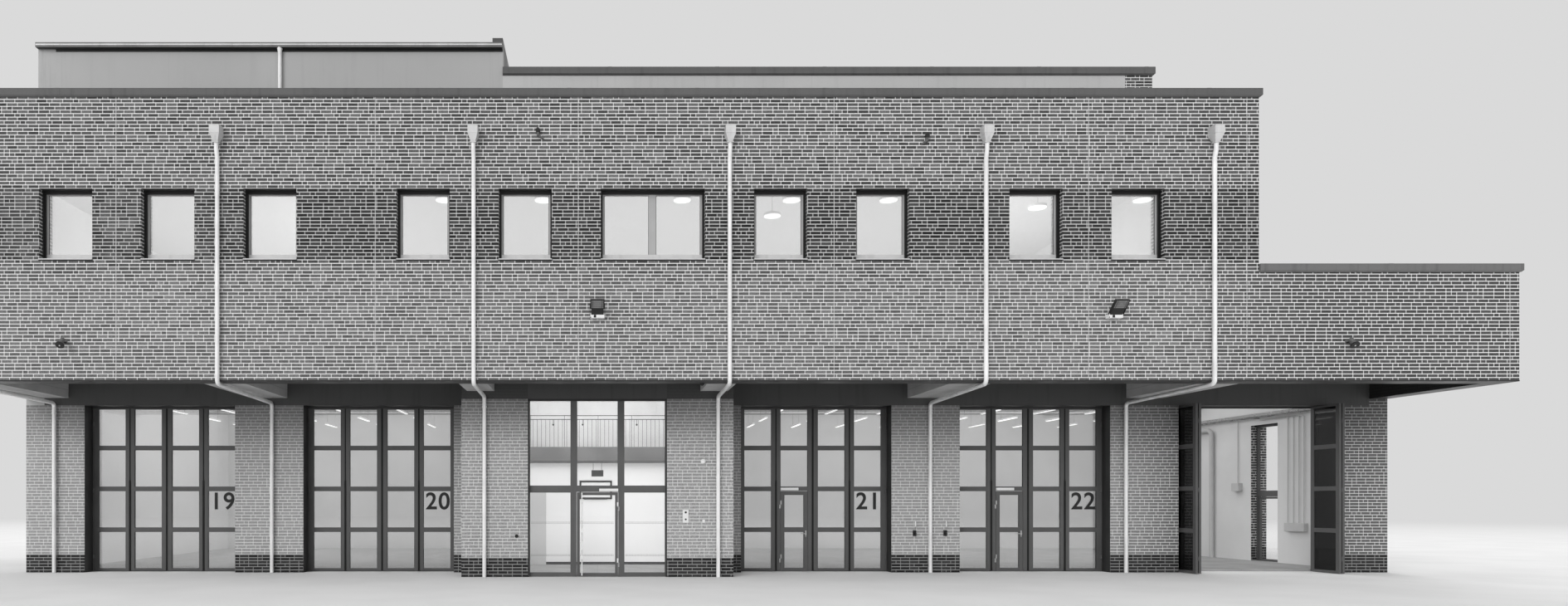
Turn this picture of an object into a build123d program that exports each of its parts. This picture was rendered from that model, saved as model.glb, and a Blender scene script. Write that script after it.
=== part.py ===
from build123d import *
import os

os.makedirs("parts", exist_ok=True)

# Driving dimensions, in millimetres. X runs along the front, Y runs into the building
# and Z is up. The origin lies on the entrance axis, on the ground, in the outer face
# of the gate wall.

# Plan
bay = 6000
end_margin = 660
step_margin = 540
canopy_depth = 3650
hall_depth = 12200
wall_t = 500
front_wall_t = 440
entrance_projection = 1570
entrance_bay_w = 7000
entrance_w = 3580

# Heights
floor_t = 50
gate_head = 4580
soffit_z = 4760
beam_z = 4780
deck_z = 5450
deck_t = 250
upper_floor_z = 6700
slab_t = 300
low_wall_z = 7320
sill_z = 7610
window_h = 1675
wall_top_z = 11430
roof_z = 10900
roof_t = 400
low_roof_z = 6900
cap_h = 190

# Beams under the canopy
beam_w = 1000
entrance_beam_w = 700

# Windows of the upper storey, on one grid along the front
window_grid = 1200
window_start = 80
window_w = 1250
window_slots = (-11, -9, -7, -4, -2, 0, 3, 5, 8, 10)
double_slot = 0
window_reveal = 240
window_frame_w = 65
window_frame_t = 80
window_mullion = 165
pane_t = 24
sill_t = 25
sill_nose = 30

# Folding gates
gate_w = 4130
gate_recess = 420
leaves_per_gate = 4
leaf_t = 60
jamb_w = 30
jamb_depth = 80
jamb_gap = 6
fold_gap = 10
meet_gap = 40
leaf_bottom = 15
head_gap = 12
pane_w = 765
pane_row_h = 1030
leaf_rail = 108
leaf_foot = 60
pane_rows = 4
stack_gap = 70
stack_fold = 30
guard_w = 44
guard_proud = 18
guard_top = 2530
gate_hinge_r = 12
barrel_sides = 8
gate_hinge_levels = (350, 2200, 4050)

# Wicket doors in two of the gates
wicket_gap = 9
wicket_stile = 95
wicket_foot = 66

# Entrance glazing
glazing_recess = 120
glazing_t = 80
post_w = 140
edge_w = 30
entrance_columns = 3
transom_z = 2187
transom_h = 148
foot_h = 90
door_gap = 8
door_stile = 62
pull_bar_x = -400
pull_bar_r = 17
pull_bar_off = 70

# Hinges, levers and closers of the doors
hinge_r = 9
hinge_h = 110
hinge_gap = 0.5
flap_w = 30
flap_t = 4
wicket_hinge_levels = (250, 1750)
door_hinge_levels = (250, 1700)
lever_z = 1050
lever_r = 10
lever_off = 50
lever_w = 130
rose_w = 34
rose_h = 170
rose_t = 8
closer_w = 490
closer_h = 70
closer_t = 55
closer_set = 15

# Side door in the end wall
side_door_y = 3430
side_door_w = 1180
side_door_head = 4400
side_transom_z = 2110
side_transom_h = 190
side_frame_w = 70

# Rooms behind the entrance
partition_t = 120
hall_wall_y = 2600
gallery_y = 1000
gallery_z = 3110
gallery_t = 390
rail_h = 900
rail_t = 40
rail_pitch = 150
rail_bar = 14

# Roof storey, set back from the front
roof_storey_set = 4200
roof_storey_wall = 300
brick_return = 760
brick_skin = 120
roof_storey_z = 13870
storey_cap_h = 220
tall_x = -2650
tall_z = 14600
tall_roof_t = 130
tall_rise = 240
verge_w = 290
verge_h = 320
gutter_w = 150
gutter_h = 130
gutter_t = 6
cap_nose = 60
cap_drip = 35

# Rainwater hoppers and pipes down the front
pipe_places = (-14850, -8900, -2900, 3100, 9100, 14450)
pipe_r = 50
pipe_sides = 16
pipe_off = 80
hopper_w = 230
hopper_depth = 270
hopper_z = 10300
hopper_flange_h = 20
hopper_taper_h = 180
hopper_rim_h = 190
hopper_foot = 150
hopper_t = 4
swan_z = (10160, 9980)
pipe_turn_z = 4690
pipe_fall = 60
bracket_w = 40
bracket_levels = (9200, 7700, 6200, 5100)
low_bracket_levels = (4350, 2540, 630)
roof_pipe_x = -8870
funnel_h = 150

# Floodlights, cameras and plates on the walls
flood_places = (0, 12200)
flood_z = 6230
flood_w = 350
flood_box_h = 120
flood_box_d = 170
flood_head_l = 420
flood_head_t = 70
flood_seat = 40
flood_tilt = 50
camera_places = (-12600, 17780)
camera_z = 5640
camera_r = 62
camera_l = 230
camera_tilt = 40
shade_r = 115
shade_t = 30
call_x = 2270
call_z = 1560
call_w = 150
call_h = 330
call_t = 30
lamp_x = 2720
lamp_z = 2970
lamp_r = 65
lamp_t = 60
tap_places = (8690, 9530)
tap_z = 1080
tap_w = 90
tap_h = 160
tap_t = 120

# Worked-out places
left_x = -2.5 * bay - end_margin
right_x = 3.5 * bay + end_margin
step_x = 2.5 * bay + step_margin
front_y = -canopy_depth
front_in = front_y + front_wall_t
entrance_y = -entrance_projection
rear_in = wall_t + hall_depth
rear_y = rear_in + wall_t
gate_centres = [bay * k for k in (-2, -1, 1, 2, 3)]
entrance_half = entrance_bay_w / 2
glazing_half = entrance_w / 2
sill_top = sill_z + sill_t
window_head = sill_z + window_h


# Helpers


def middle(span):
    """Half way between the two ends of a span."""
    return (span[0] + span[1]) / 2


def length(span):
    """Distance between the two ends of a span."""
    return span[1] - span[0]


def slab(xs, ys, zs, mode=Mode.ADD):
    """Square block between the three spans, in the part that is open."""
    with BuildSketch(Plane.XY.offset(zs[0])) as outline:
        with Locations((middle(xs), middle(ys))):
            Rectangle(length(xs), length(ys))
    extrude(outline.sketch, amount=length(zs), mode=mode)


def upright(points, plane, thickness, mode=Mode.ADD):
    """Wall with the outline given on its plane, as thick as stated."""
    with BuildSketch(plane) as outline:
        with BuildLine():
            Polyline(*points, close=True)
        make_face()
    extrude(outline.sketch, amount=thickness, mode=mode)


def facing(y):
    """Upright plane at y: its X is the building's, its Y is height, it looks to -Y."""
    return Plane.XZ.offset(-y)


def sideways(x):
    """Upright plane at x: its X is the building's Y, its Y is height, it looks to +X."""
    return Plane.YZ.offset(x)


def save(piece, name):
    """Label the finished piece and write it."""
    piece.part.label = name
    export_step(piece.part, f"parts/{name}.step")


# Walls of the ground floor

with BuildPart() as ground_floor:
    slab((left_x + wall_t, right_x - wall_t), (wall_t, rear_in), (0, floor_t))
    slab(
        (-entrance_half + wall_t, entrance_half - wall_t),
        (entrance_y + wall_t, wall_t),
        (0, floor_t),
    )
    slab(
        (-glazing_half, glazing_half),
        (entrance_y + glazing_recess + glazing_t, entrance_y + wall_t),
        (0, floor_t),
    )
    slab(
        (right_x - wall_t, right_x),
        (side_door_y, side_door_y + side_door_w),
        (0, floor_t),
    )
save(ground_floor, "ground_floor")

gate_edges = [(x - gate_w / 2, x + gate_w / 2) for x in gate_centres]
pier_spans = [
    (left_x, gate_edges[0][0]),
    (gate_edges[0][1], gate_edges[1][0]),
    (gate_edges[1][1], -entrance_half),
    (entrance_half, gate_edges[2][0]),
    (gate_edges[2][1], gate_edges[3][0]),
    (gate_edges[3][1], gate_edges[4][0]),
    (gate_edges[4][1], right_x),
]
with BuildPart() as gate_piers:
    with BuildSketch():
        for span in pier_spans:
            with Locations((middle(span), wall_t / 2)):
                Rectangle(length(span), wall_t)
    extrude(amount=gate_head)
save(gate_piers, "gate_piers")

floor_under = upper_floor_z - slab_t
with BuildPart() as wall_over_gates:
    slab((left_x + wall_t, -entrance_half), (0, wall_t), (gate_head, floor_under))
    slab((entrance_half, right_x - wall_t), (0, wall_t), (gate_head, floor_under))
save(wall_over_gates, "wall_over_gates")

with BuildPart() as entrance_bay_walls:
    with BuildSketch():
        with BuildLine():
            Polyline(
                (glazing_half, entrance_y),
                (entrance_half, entrance_y),
                (entrance_half, wall_t),
                (entrance_half - wall_t, wall_t),
                (entrance_half - wall_t, entrance_y + wall_t),
                (glazing_half, entrance_y + wall_t),
                close=True,
            )
        make_face()
        mirror(about=Plane.YZ)
    extrude(amount=deck_z)
save(entrance_bay_walls, "entrance_bay_walls")

with BuildPart() as entrance_bay_lintels:
    slab(
        (-glazing_half, glazing_half),
        (entrance_y, entrance_y + wall_t),
        (gate_head, deck_z),
    )
    slab((-entrance_half, entrance_half), (0, wall_t), (deck_z, floor_under))
save(entrance_bay_lintels, "entrance_bay_lintels")

side_door_far = side_door_y + side_door_w
with BuildPart() as end_wall_piers:
    slab((right_x - wall_t, right_x), (wall_t, side_door_y), (0, side_door_head))
    slab((right_x - wall_t, right_x), (side_door_far, rear_in), (0, side_door_head))
save(end_wall_piers, "end_wall_piers")

with BuildPart() as end_wall:
    upright(
        [
            (front_in, soffit_z),
            (0, soffit_z),
            (0, gate_head),
            (wall_t, gate_head),
            (wall_t, side_door_head),
            (rear_in, side_door_head),
            (rear_in, low_wall_z),
            (front_in, low_wall_z),
        ],
        sideways(right_x - wall_t),
        wall_t,
    )
save(end_wall, "end_wall")

roof_front_y = front_y + roof_storey_set
roof_rear_y = rear_y - roof_storey_set
with BuildPart() as party_wall:
    upright(
        [
            (front_in, soffit_z),
            (0, soffit_z),
            (0, gate_head),
            (wall_t, gate_head),
            (wall_t, 0),
            (rear_in, 0),
            (rear_in, wall_top_z),
            (roof_rear_y, wall_top_z),
            (roof_rear_y, tall_z),
            (roof_front_y, tall_z),
            (roof_front_y, wall_top_z),
            (front_in, wall_top_z),
        ],
        sideways(left_x),
        wall_t,
    )
save(party_wall, "party_wall")

with BuildPart() as rear_wall:
    upright(
        [
            (left_x, 0),
            (right_x, 0),
            (right_x, low_wall_z),
            (step_x, low_wall_z),
            (step_x, sill_z),
            (left_x, sill_z),
        ],
        facing(rear_y),
        wall_t,
    )
save(rear_wall, "rear_wall")

# Walls of the upper storey

with BuildPart() as front_wall:
    upright(
        [
            (left_x, soffit_z),
            (right_x, soffit_z),
            (right_x, low_wall_z),
            (step_x, low_wall_z),
            (step_x, sill_z),
            (left_x, sill_z),
        ],
        facing(front_in),
        front_wall_t,
    )
save(front_wall, "front_wall")


def window_span(slot):
    """Left and right edge of the window that starts at this place of the grid."""
    start = window_start + slot * window_grid
    width = window_w + window_grid if slot == double_slot else window_w
    return (start, start + width)


windows = [window_span(slot) for slot in window_slots]
window_edges = [left_x] + [edge for span in windows for edge in span] + [step_x]
masonry_spans = list(zip(window_edges[0::2], window_edges[1::2]))
with BuildPart() as window_piers:
    with BuildSketch(Plane.XY.offset(sill_z)):
        for span in masonry_spans:
            with Locations((middle(span), front_y + front_wall_t / 2)):
                Rectangle(length(span), front_wall_t)
            with Locations((middle(span), rear_in + wall_t / 2)):
                Rectangle(length(span), wall_t)
    extrude(amount=window_h)
save(window_piers, "window_piers")

with BuildPart() as upper_walls:
    slab((left_x, step_x), (front_y, front_in), (window_head, wall_top_z))
    slab((left_x, step_x), (rear_in, rear_y), (window_head, wall_top_z))
save(upper_walls, "upper_walls")

with BuildPart() as stepped_end_wall:
    slab((step_x - wall_t, step_x), (front_in, rear_in), (upper_floor_z, wall_top_z))
save(stepped_end_wall, "stepped_end_wall")

# Canopy, floors and roofs

outer_beams = [-1.5 * bay, 1.5 * bay, 2.5 * bay]
entrance_beams = [-0.5 * bay, 0.5 * bay]
party_beam = (left_x + wall_t, -2.5 * bay + beam_w / 2)
with BuildPart() as canopy_beams:
    for x in outer_beams:
        slab((x - beam_w / 2, x + beam_w / 2), (front_in, 0), (beam_z, deck_z))
    for x in entrance_beams:
        span = (x - entrance_beam_w / 2, x + entrance_beam_w / 2)
        slab(span, (front_in, entrance_y), (beam_z, deck_z))
    slab(party_beam, (front_in, 0), (beam_z, deck_z))
save(canopy_beams, "canopy_beams")

with BuildPart() as canopy_deck:
    slab((left_x + wall_t, right_x - wall_t), (front_in, 0), (deck_z, deck_z + deck_t))
save(canopy_deck, "canopy_deck")

with BuildPart() as upper_floor:
    slab((left_x + wall_t, step_x), (front_in, rear_in), (floor_under, upper_floor_z))
save(upper_floor, "upper_floor")

with BuildPart() as roof_slabs:
    slab(
        (left_x + wall_t, step_x - wall_t),
        (front_in, rear_in),
        (roof_z - roof_t, roof_z),
    )
    slab((step_x, right_x - wall_t), (front_in, rear_in), (floor_under, low_roof_z))
save(roof_slabs, "roof_slabs")

# Roof storey

return_x = step_x - brick_return
with BuildPart() as roof_storey_walls:
    for y in (roof_front_y + roof_storey_wall, roof_rear_y):
        upright(
            [
                (left_x + wall_t, roof_z),
                (return_x, roof_z),
                (return_x, roof_storey_z),
                (tall_x, roof_storey_z),
                (tall_x, tall_z),
                (left_x + wall_t, tall_z),
            ],
            facing(y),
            roof_storey_wall,
        )
save(roof_storey_walls, "roof_storey_walls")

with BuildPart() as roof_storey_end_wall:
    slab(
        (step_x - wall_t, step_x),
        (roof_front_y, roof_rear_y),
        (wall_top_z, roof_storey_z),
    )
    slab(
        (return_x, step_x - wall_t),
        (roof_front_y, roof_front_y + brick_skin),
        (roof_z, roof_storey_z),
    )
    slab(
        (return_x, step_x - wall_t),
        (roof_rear_y - brick_skin, roof_rear_y),
        (roof_z, roof_storey_z),
    )
save(roof_storey_end_wall, "roof_storey_end_wall")

storey_in = (roof_front_y + roof_storey_wall, roof_rear_y - roof_storey_wall)
with BuildPart() as roof_storey_roofs:
    slab(
        (tall_x, step_x - wall_t),
        storey_in,
        (roof_storey_z - slab_t, roof_storey_z),
    )
    upright(
        [
            (roof_front_y, tall_z),
            (roof_rear_y, tall_z),
            (roof_rear_y, tall_z + tall_roof_t + tall_rise),
            (roof_front_y, tall_z + tall_roof_t),
        ],
        sideways(left_x),
        tall_x - verge_w - left_x,
    )
save(roof_storey_roofs, "roof_storey_roofs")

with BuildPart() as tall_verge:
    upright(
        [
            (roof_front_y, tall_z),
            (roof_rear_y, tall_z),
            (roof_rear_y, tall_z + verge_h + tall_rise),
            (roof_front_y, tall_z + verge_h),
        ],
        sideways(tall_x - verge_w),
        verge_w,
    )
    slab(
        (tall_x - verge_w, tall_x),
        storey_in,
        (roof_storey_z - slab_t, tall_z),
    )
save(tall_verge, "tall_verge")


# Metal caps over the walls, each a little wider than the wall it covers

front_band = (front_y - cap_nose, front_in)
rear_band = (rear_in, rear_y + cap_nose)
storey_front = (roof_front_y - cap_nose, roof_front_y + roof_storey_wall)
storey_rear = (roof_rear_y - roof_storey_wall, roof_rear_y + cap_nose)
step_edge = (step_x - wall_t, step_x + cap_nose)
noses_y = (front_y, roof_front_y, roof_rear_y, rear_y)
noses_x = (step_x, right_x)


def overhangs(edge):
    """True for a lower edge of a cap that stands past the wall below it."""
    box = edge.bounding_box()
    along_x = [abs(abs(box.min.Y - y) - cap_nose) < 1 for y in noses_y]
    along_y = [abs(box.min.X - x - cap_nose) < 1 for x in noses_x]
    if box.size.X > box.size.Y:
        return any(along_x)
    return any(along_y)


with BuildPart() as wall_caps:
    for ys in (front_band, rear_band):
        slab((left_x, step_x + cap_nose), ys, (wall_top_z, wall_top_z + cap_h))
        slab((step_x, right_x + cap_nose), ys, (low_wall_z, low_wall_z + cap_h))
    for ys in ((front_in, roof_front_y), (roof_rear_y, rear_in)):
        slab(step_edge, ys, (wall_top_z, wall_top_z + cap_h))
        slab((left_x, left_x + wall_t), ys, (wall_top_z, wall_top_z + cap_h))
    slab(
        (right_x - wall_t, right_x + cap_nose),
        (front_in, rear_in),
        (low_wall_z, low_wall_z + cap_h),
    )
    for ys in (storey_front, storey_rear):
        slab(
            (tall_x, step_x + cap_nose),
            ys,
            (roof_storey_z, roof_storey_z + storey_cap_h),
        )
    slab(step_edge, storey_in, (roof_storey_z, roof_storey_z + storey_cap_h))
    for z in (wall_top_z, low_wall_z, roof_storey_z):
        undersides = wall_caps.edges().filter_by_position(Axis.Z, z, z)
        chamfer(undersides.filter_by(overhangs), cap_drip)
save(wall_caps, "wall_caps")

gutter_y = roof_front_y - gutter_w
gutter_z = tall_z + tall_roof_t - gutter_h
with BuildPart() as roof_gutter:
    upright(
        [
            (roof_front_y, gutter_z),
            (roof_front_y, gutter_z + gutter_h),
            (roof_front_y - gutter_t, gutter_z + gutter_h),
            (roof_front_y - gutter_t, gutter_z + gutter_t),
            (gutter_y + gutter_t, gutter_z + gutter_t),
            (gutter_y + gutter_t, gutter_z + gutter_h),
            (gutter_y, gutter_z + gutter_h),
            (gutter_y, gutter_z),
        ],
        sideways(left_x),
        tall_x - left_x,
    )
save(roof_gutter, "roof_gutter")

# Windows

frame_span_z = (sill_top, window_head)
front_frame_y = front_y + window_reveal + window_frame_t
rear_frame_y = rear_y - window_reveal


def panes(span):
    """Clear openings of one window: two beside a mullion in the double one."""
    left, right = span[0] + window_frame_w, span[1] - window_frame_w
    if length(span) == window_w:
        return [(left, right)]
    return [
        (left, middle(span) - window_mullion / 2),
        (middle(span) + window_mullion / 2, right),
    ]


glass_spans = [pane for span in windows for pane in panes(span)]
glass_h = length(frame_span_z) - 2 * window_frame_w
with BuildPart() as window_frames:
    for y in (front_frame_y, rear_frame_y):
        with BuildSketch(facing(y)):
            for span in windows:
                with Locations((middle(span), middle(frame_span_z))):
                    Rectangle(length(span), length(frame_span_z))
            for span in glass_spans:
                with Locations((middle(span), middle(frame_span_z))):
                    Rectangle(length(span), glass_h, mode=Mode.SUBTRACT)
        extrude(amount=window_frame_t)
save(window_frames, "window_frames")

glass_set = (window_frame_t - pane_t) / 2
with BuildPart() as window_glass:
    for y in (front_frame_y, rear_frame_y):
        with BuildSketch(facing(y - glass_set)):
            for span in glass_spans:
                with Locations((middle(span), middle(frame_span_z))):
                    Rectangle(length(span), glass_h)
        extrude(amount=pane_t)
save(window_glass, "window_glass")

with BuildPart() as window_sills:
    for span in windows:
        slab(span, (front_y - sill_nose, front_frame_y), (sill_z, sill_top))
        slab(span, (rear_frame_y - window_frame_t, rear_y + sill_nose), (sill_z, sill_top))
save(window_sills, "window_sills")

# Folding gates: four glazed leaves each, folding in pairs

leaves_clear_w = gate_w - 2 * jamb_w - 2 * jamb_gap - 2 * fold_gap - meet_gap
leaf_w = leaves_clear_w / leaves_per_gate
leaf_stile = (leaf_w - pane_w) / 2
leaf_top = gate_head - head_gap
leaf_span_z = (leaf_bottom, leaf_top)
pane_pitch = pane_row_h + leaf_rail
first_pane_z = leaf_bottom + leaf_foot + pane_row_h / 2
pane_levels = [first_pane_z + row * pane_pitch for row in range(pane_rows)]
wicket_rows = 2
wicket_head = leaf_bottom + leaf_foot + wicket_rows * pane_pitch - leaf_rail
leaf_back = gate_recess + leaf_t


def leaf_starts(edges):
    """Left edges of the four closed leaves of a gate."""
    first = edges[0] + jamb_w + jamb_gap
    second = first + leaf_w + fold_gap
    third = second + leaf_w + meet_gap
    return [first, second, third, third + leaf_w + fold_gap]


def leaves(plane, starts):
    """Leaves on a plane from their left edges on, with a clear pane at each level."""
    centres = [start + leaf_w / 2 for start in starts]
    with BuildSketch(plane) as outline:
        with Locations(*[(x, middle(leaf_span_z)) for x in centres]):
            Rectangle(leaf_w, length(leaf_span_z))
        with Locations(*[(x, z) for x in centres for z in pane_levels]):
            Rectangle(pane_w, pane_row_h, mode=Mode.SUBTRACT)
    extrude(outline.sketch, amount=leaf_t)


def leaf_panes(plane, starts, levels=pane_levels):
    """Glass of leaves at these levels, on a plane at the back of the panes."""
    with BuildSketch(plane) as outline:
        with Locations(*[(start + leaf_w / 2, z) for start in starts for z in levels]):
            Rectangle(pane_w, pane_row_h)
    extrude(outline.sketch, amount=pane_t)


wicket_gates = (2, 3)
open_gate = 4
wicket_leaf = 1
closed_plane = facing(leaf_back)
pane_set = (leaf_t - pane_t) / 2
pane_plane = facing(leaf_back - pane_set)

# Each pair of leaves turns out on hinges that stand off the jamb, and folds in two
jamb_axis = jamb_w + jamb_gap / 2
jamb_off = stack_gap - jamb_axis
fold_off = stack_fold / 2
stack_end = gate_recess - jamb_off - jamb_gap / 2
stack_start = stack_end - leaf_w
far_leaf = stack_gap + leaf_t + stack_fold
open_edges = gate_edges[open_gate]
stack_planes = [
    open_edges[0] + stack_gap,
    open_edges[0] + far_leaf,
    open_edges[1] - stack_gap - leaf_t,
    open_edges[1] - far_leaf - leaf_t,
]
plain_starts = [
    start
    for number, edges in enumerate(gate_edges[:open_gate])
    for place, start in enumerate(leaf_starts(edges))
    if number not in wicket_gates or place != wicket_leaf
]
with BuildPart() as gate_leaves:
    leaves(closed_plane, plain_starts)
    for x in stack_planes:
        leaves(sideways(x), [stack_start])
save(gate_leaves, "gate_leaves")

# The leaves with a wicket are stiles and rails round its doorway
wicket_starts = [leaf_starts(gate_edges[number])[wicket_leaf] for number in wicket_gates]
rail_levels = [
    (wicket_head, wicket_head + leaf_rail),
    (wicket_head + pane_pitch, wicket_head + pane_pitch + leaf_rail),
    (wicket_head + 2 * pane_pitch, leaf_top),
]
leaf_span_y = (gate_recess, leaf_back)
with BuildPart() as wicket_leaf_stiles:
    for start in wicket_starts:
        slab((start, start + leaf_stile), leaf_span_y, leaf_span_z)
        slab((start + leaf_w - leaf_stile, start + leaf_w), leaf_span_y, leaf_span_z)
save(wicket_leaf_stiles, "wicket_leaf_stiles")

with BuildPart() as wicket_leaf_rails:
    for start in wicket_starts:
        for span in rail_levels:
            slab((start + leaf_stile, start + leaf_w - leaf_stile), leaf_span_y, span)
save(wicket_leaf_rails, "wicket_leaf_rails")

with BuildPart() as gate_glass:
    leaf_panes(pane_plane, plain_starts)
    for x in stack_planes:
        leaf_panes(sideways(x + pane_set), [stack_start])
save(gate_glass, "gate_glass")

with BuildPart() as gate_frames:
    with BuildSketch():
        for edges in gate_edges:
            with Locations(
                (edges[0] + jamb_w / 2, gate_recess + jamb_depth / 2),
                (edges[1] - jamb_w / 2, gate_recess + jamb_depth / 2),
            ):
                Rectangle(jamb_w, jamb_depth)
    extrude(amount=gate_head)
save(gate_frames, "gate_frames")

guard_span_y = (gate_recess - guard_proud, gate_recess)
with BuildPart() as finger_guards:
    for edges in gate_edges[:open_gate]:
        starts = leaf_starts(edges)
        for fold in (starts[1] - fold_gap / 2, starts[3] - fold_gap / 2):
            slab(
                (fold - guard_w / 2, fold + guard_w / 2),
                guard_span_y,
                (leaf_bottom, guard_top),
            )
save(finger_guards, "finger_guards")



def hinge_arm(axis, flap, size):
    """Hinge barrels at all levels, each running into the flap that carries it."""
    for z in gate_hinge_levels:
        with BuildSketch(Plane.XY.offset(z)) as outline:
            with Locations(axis):
                RegularPolygon(gate_hinge_r, barrel_sides)
            with Locations(flap):
                Rectangle(*size)
            make_hull()
        extrude(outline.sketch, amount=hinge_h)


with BuildPart() as gate_hinges:
    for edges in gate_edges[:open_gate]:
        starts = leaf_starts(edges)
        for x in (edges[0] + jamb_axis, edges[1] - jamb_axis):
            hinge_arm(
                (x, gate_recess - jamb_off),
                (x, gate_recess - flap_t / 2),
                (2 * flap_w, flap_t),
            )
        for x in (starts[1] - fold_gap / 2, starts[3] - fold_gap / 2):
            hinge_arm(
                (x, leaf_back + fold_off),
                (x, leaf_back + flap_t / 2),
                (2 * flap_w, flap_t),
            )
    for edge, side in zip(open_edges, (1, -1)):
        jamb_place = (edge + side * jamb_axis, gate_recess - jamb_off)
        hinge_arm(
            jamb_place,
            (edge + side * (jamb_w - flap_w / 2 + flap_t), gate_recess - flap_t / 2),
            (flap_w - 2 * flap_t, flap_t),
        )
        hinge_arm(
            jamb_place,
            (edge + side * (stack_gap - flap_t / 2), stack_end - flap_w / 2),
            (flap_t, flap_w),
        )
        fold_place = (
            edge + side * (far_leaf - fold_off),
            stack_start - fold_gap / 2,
        )
        for off in (stack_gap + leaf_t + flap_t / 2, far_leaf - flap_t / 2):
            hinge_arm(
                fold_place,
                (edge + side * off, stack_start + flap_w / 2),
                (flap_t, flap_w),
            )
save(gate_hinges, "gate_hinges")

# Fittings of the doors


def hinge_half(plane, x, z, side):
    """Barrel of a door hinge before the plane, with a flap on it to one side."""
    base = Plane(
        plane.from_local_coords((x, z, hinge_r)),
        x_dir=plane.x_dir,
        z_dir=plane.y_dir,
    )
    with BuildSketch(base) as outline:
        Circle(hinge_r)
        with Locations((side * flap_w / 2, hinge_r - flap_t / 2)):
            Rectangle(flap_w, flap_t)
    extrude(outline.sketch, amount=hinge_h)


def lever(plane, x, toward):
    """Lever handle on its rose, pointing to one side."""
    with BuildSketch(plane) as rose:
        with Locations((x, lever_z)):
            Rectangle(rose_w, rose_h)
    extrude(rose.sketch, amount=rose_t)
    with BuildSketch(plane) as neck:
        with Locations((x, lever_z)):
            Rectangle(2 * lever_r, 2 * lever_r)
    extrude(neck.sketch, amount=lever_off)
    with BuildSketch(plane.offset(lever_off - lever_r)) as grip:
        with Locations((x + toward * (lever_w / 2 - lever_r), lever_z)):
            Rectangle(lever_w, 2 * lever_r)
    extrude(grip.sketch, amount=2 * lever_r)


upper_half = hinge_h + hinge_gap

# Wicket doors, hinged at their left edge and opening outwards

gate_plane = facing(gate_recess)
wicket_w = pane_w - 2 * wicket_gap
wicket_top = wicket_head - wicket_gap
wicket_pane_w = wicket_w - 2 * wicket_stile
wicket_rail_z = leaf_bottom + leaf_foot + pane_row_h
wicket_panes = [
    (leaf_bottom + wicket_foot, wicket_rail_z),
    (wicket_rail_z + leaf_rail, wicket_top - wicket_stile),
]
wicket_axes = []
for number, host in zip(wicket_gates, wicket_starts):
    start = host + leaf_stile + wicket_gap
    centre = start + wicket_w / 2
    axis_x = start - wicket_gap / 2
    wicket_axes.append(axis_x)
    with BuildPart() as wicket:
        with BuildSketch(closed_plane):
            with Locations((centre, (leaf_bottom + wicket_top) / 2)):
                Rectangle(wicket_w, wicket_top - leaf_bottom)
            for span in wicket_panes:
                with Locations((centre, middle(span))):
                    Rectangle(wicket_pane_w, length(span), mode=Mode.SUBTRACT)
        extrude(amount=leaf_t)
    save(wicket, f"wicket_{number + 1}")
    with BuildPart() as wicket_glass:
        with BuildSketch(pane_plane):
            for span in wicket_panes:
                with Locations((centre, middle(span))):
                    Rectangle(wicket_pane_w, length(span))
        extrude(amount=pane_t)
    save(wicket_glass, f"wicket_{number + 1}_glass")
    with BuildPart() as wicket_fittings:
        for z in wicket_hinge_levels:
            hinge_half(gate_plane, axis_x, z + upper_half, 1)
        lever(gate_plane, start + wicket_w - wicket_stile / 2, -1)
    save(wicket_fittings, f"wicket_{number + 1}_fittings")

# Entrance: three glazed bays with a door in the middle one. Side door: a glazed door
# with a tall light over it, in the end wall

side_frame_x = right_x - window_reveal - glazing_t
side_span_x = (side_frame_x, side_frame_x + glazing_t)
side_glass_x = side_frame_x + (glazing_t - pane_t) / 2
side_clear_y = (side_door_y + side_frame_w, side_door_far - side_frame_w)
fanlight_z = (side_transom_z + side_transom_h, side_door_head - side_frame_w)
column_w = (entrance_w - 2 * edge_w - 2 * post_w) / entrance_columns
glazing_y = entrance_y + glazing_recess
glazing_span_y = (glazing_y, glazing_y + glazing_t)
glazing_plane = facing(glazing_y)
post_in = column_w / 2
post_out = post_in + post_w
side_columns = [
    (-glazing_half + edge_w, -post_out),
    (post_out, glazing_half - edge_w),
]
column_spans = side_columns + [(-post_in, post_in)]
transom_top = transom_z + transom_h
glazing_head = gate_head - edge_w
with BuildPart() as door_posts:
    for side in (-1, 1):
        slab(sorted((side * post_in, side * post_out)), glazing_span_y, (0, gate_head))
        edge = sorted((side * (glazing_half - edge_w), side * glazing_half))
        slab(edge, glazing_span_y, (0, gate_head))
    for span in ((side_door_y, side_clear_y[0]), (side_clear_y[1], side_door_far)):
        slab(side_span_x, span, (floor_t, side_door_head))
save(door_posts, "door_posts")

with BuildPart() as door_rails:
    for span in column_spans:
        slab(span, glazing_span_y, (glazing_head, gate_head))
        slab(span, glazing_span_y, (transom_z, transom_top))
    for span in side_columns:
        slab(span, glazing_span_y, (0, foot_h))
    slab(side_span_x, side_clear_y, (side_transom_z, fanlight_z[0]))
    slab(side_span_x, side_clear_y, (fanlight_z[1], side_door_head))
save(door_rails, "door_rails")

glazing_glass_y = (
    glazing_y + (glazing_t - pane_t) / 2,
    glazing_y + (glazing_t + pane_t) / 2,
)
with BuildPart() as fixed_glass:
    for span in column_spans:
        slab(span, glazing_glass_y, (transom_top, glazing_head))
    for span in side_columns:
        slab(span, glazing_glass_y, (foot_h, transom_z))
    slab((side_glass_x, side_glass_x + pane_t), side_clear_y, fanlight_z)
    leaf_panes(pane_plane, wicket_starts, pane_levels[wicket_rows:])
save(fixed_glass, "fixed_glass")

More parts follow.
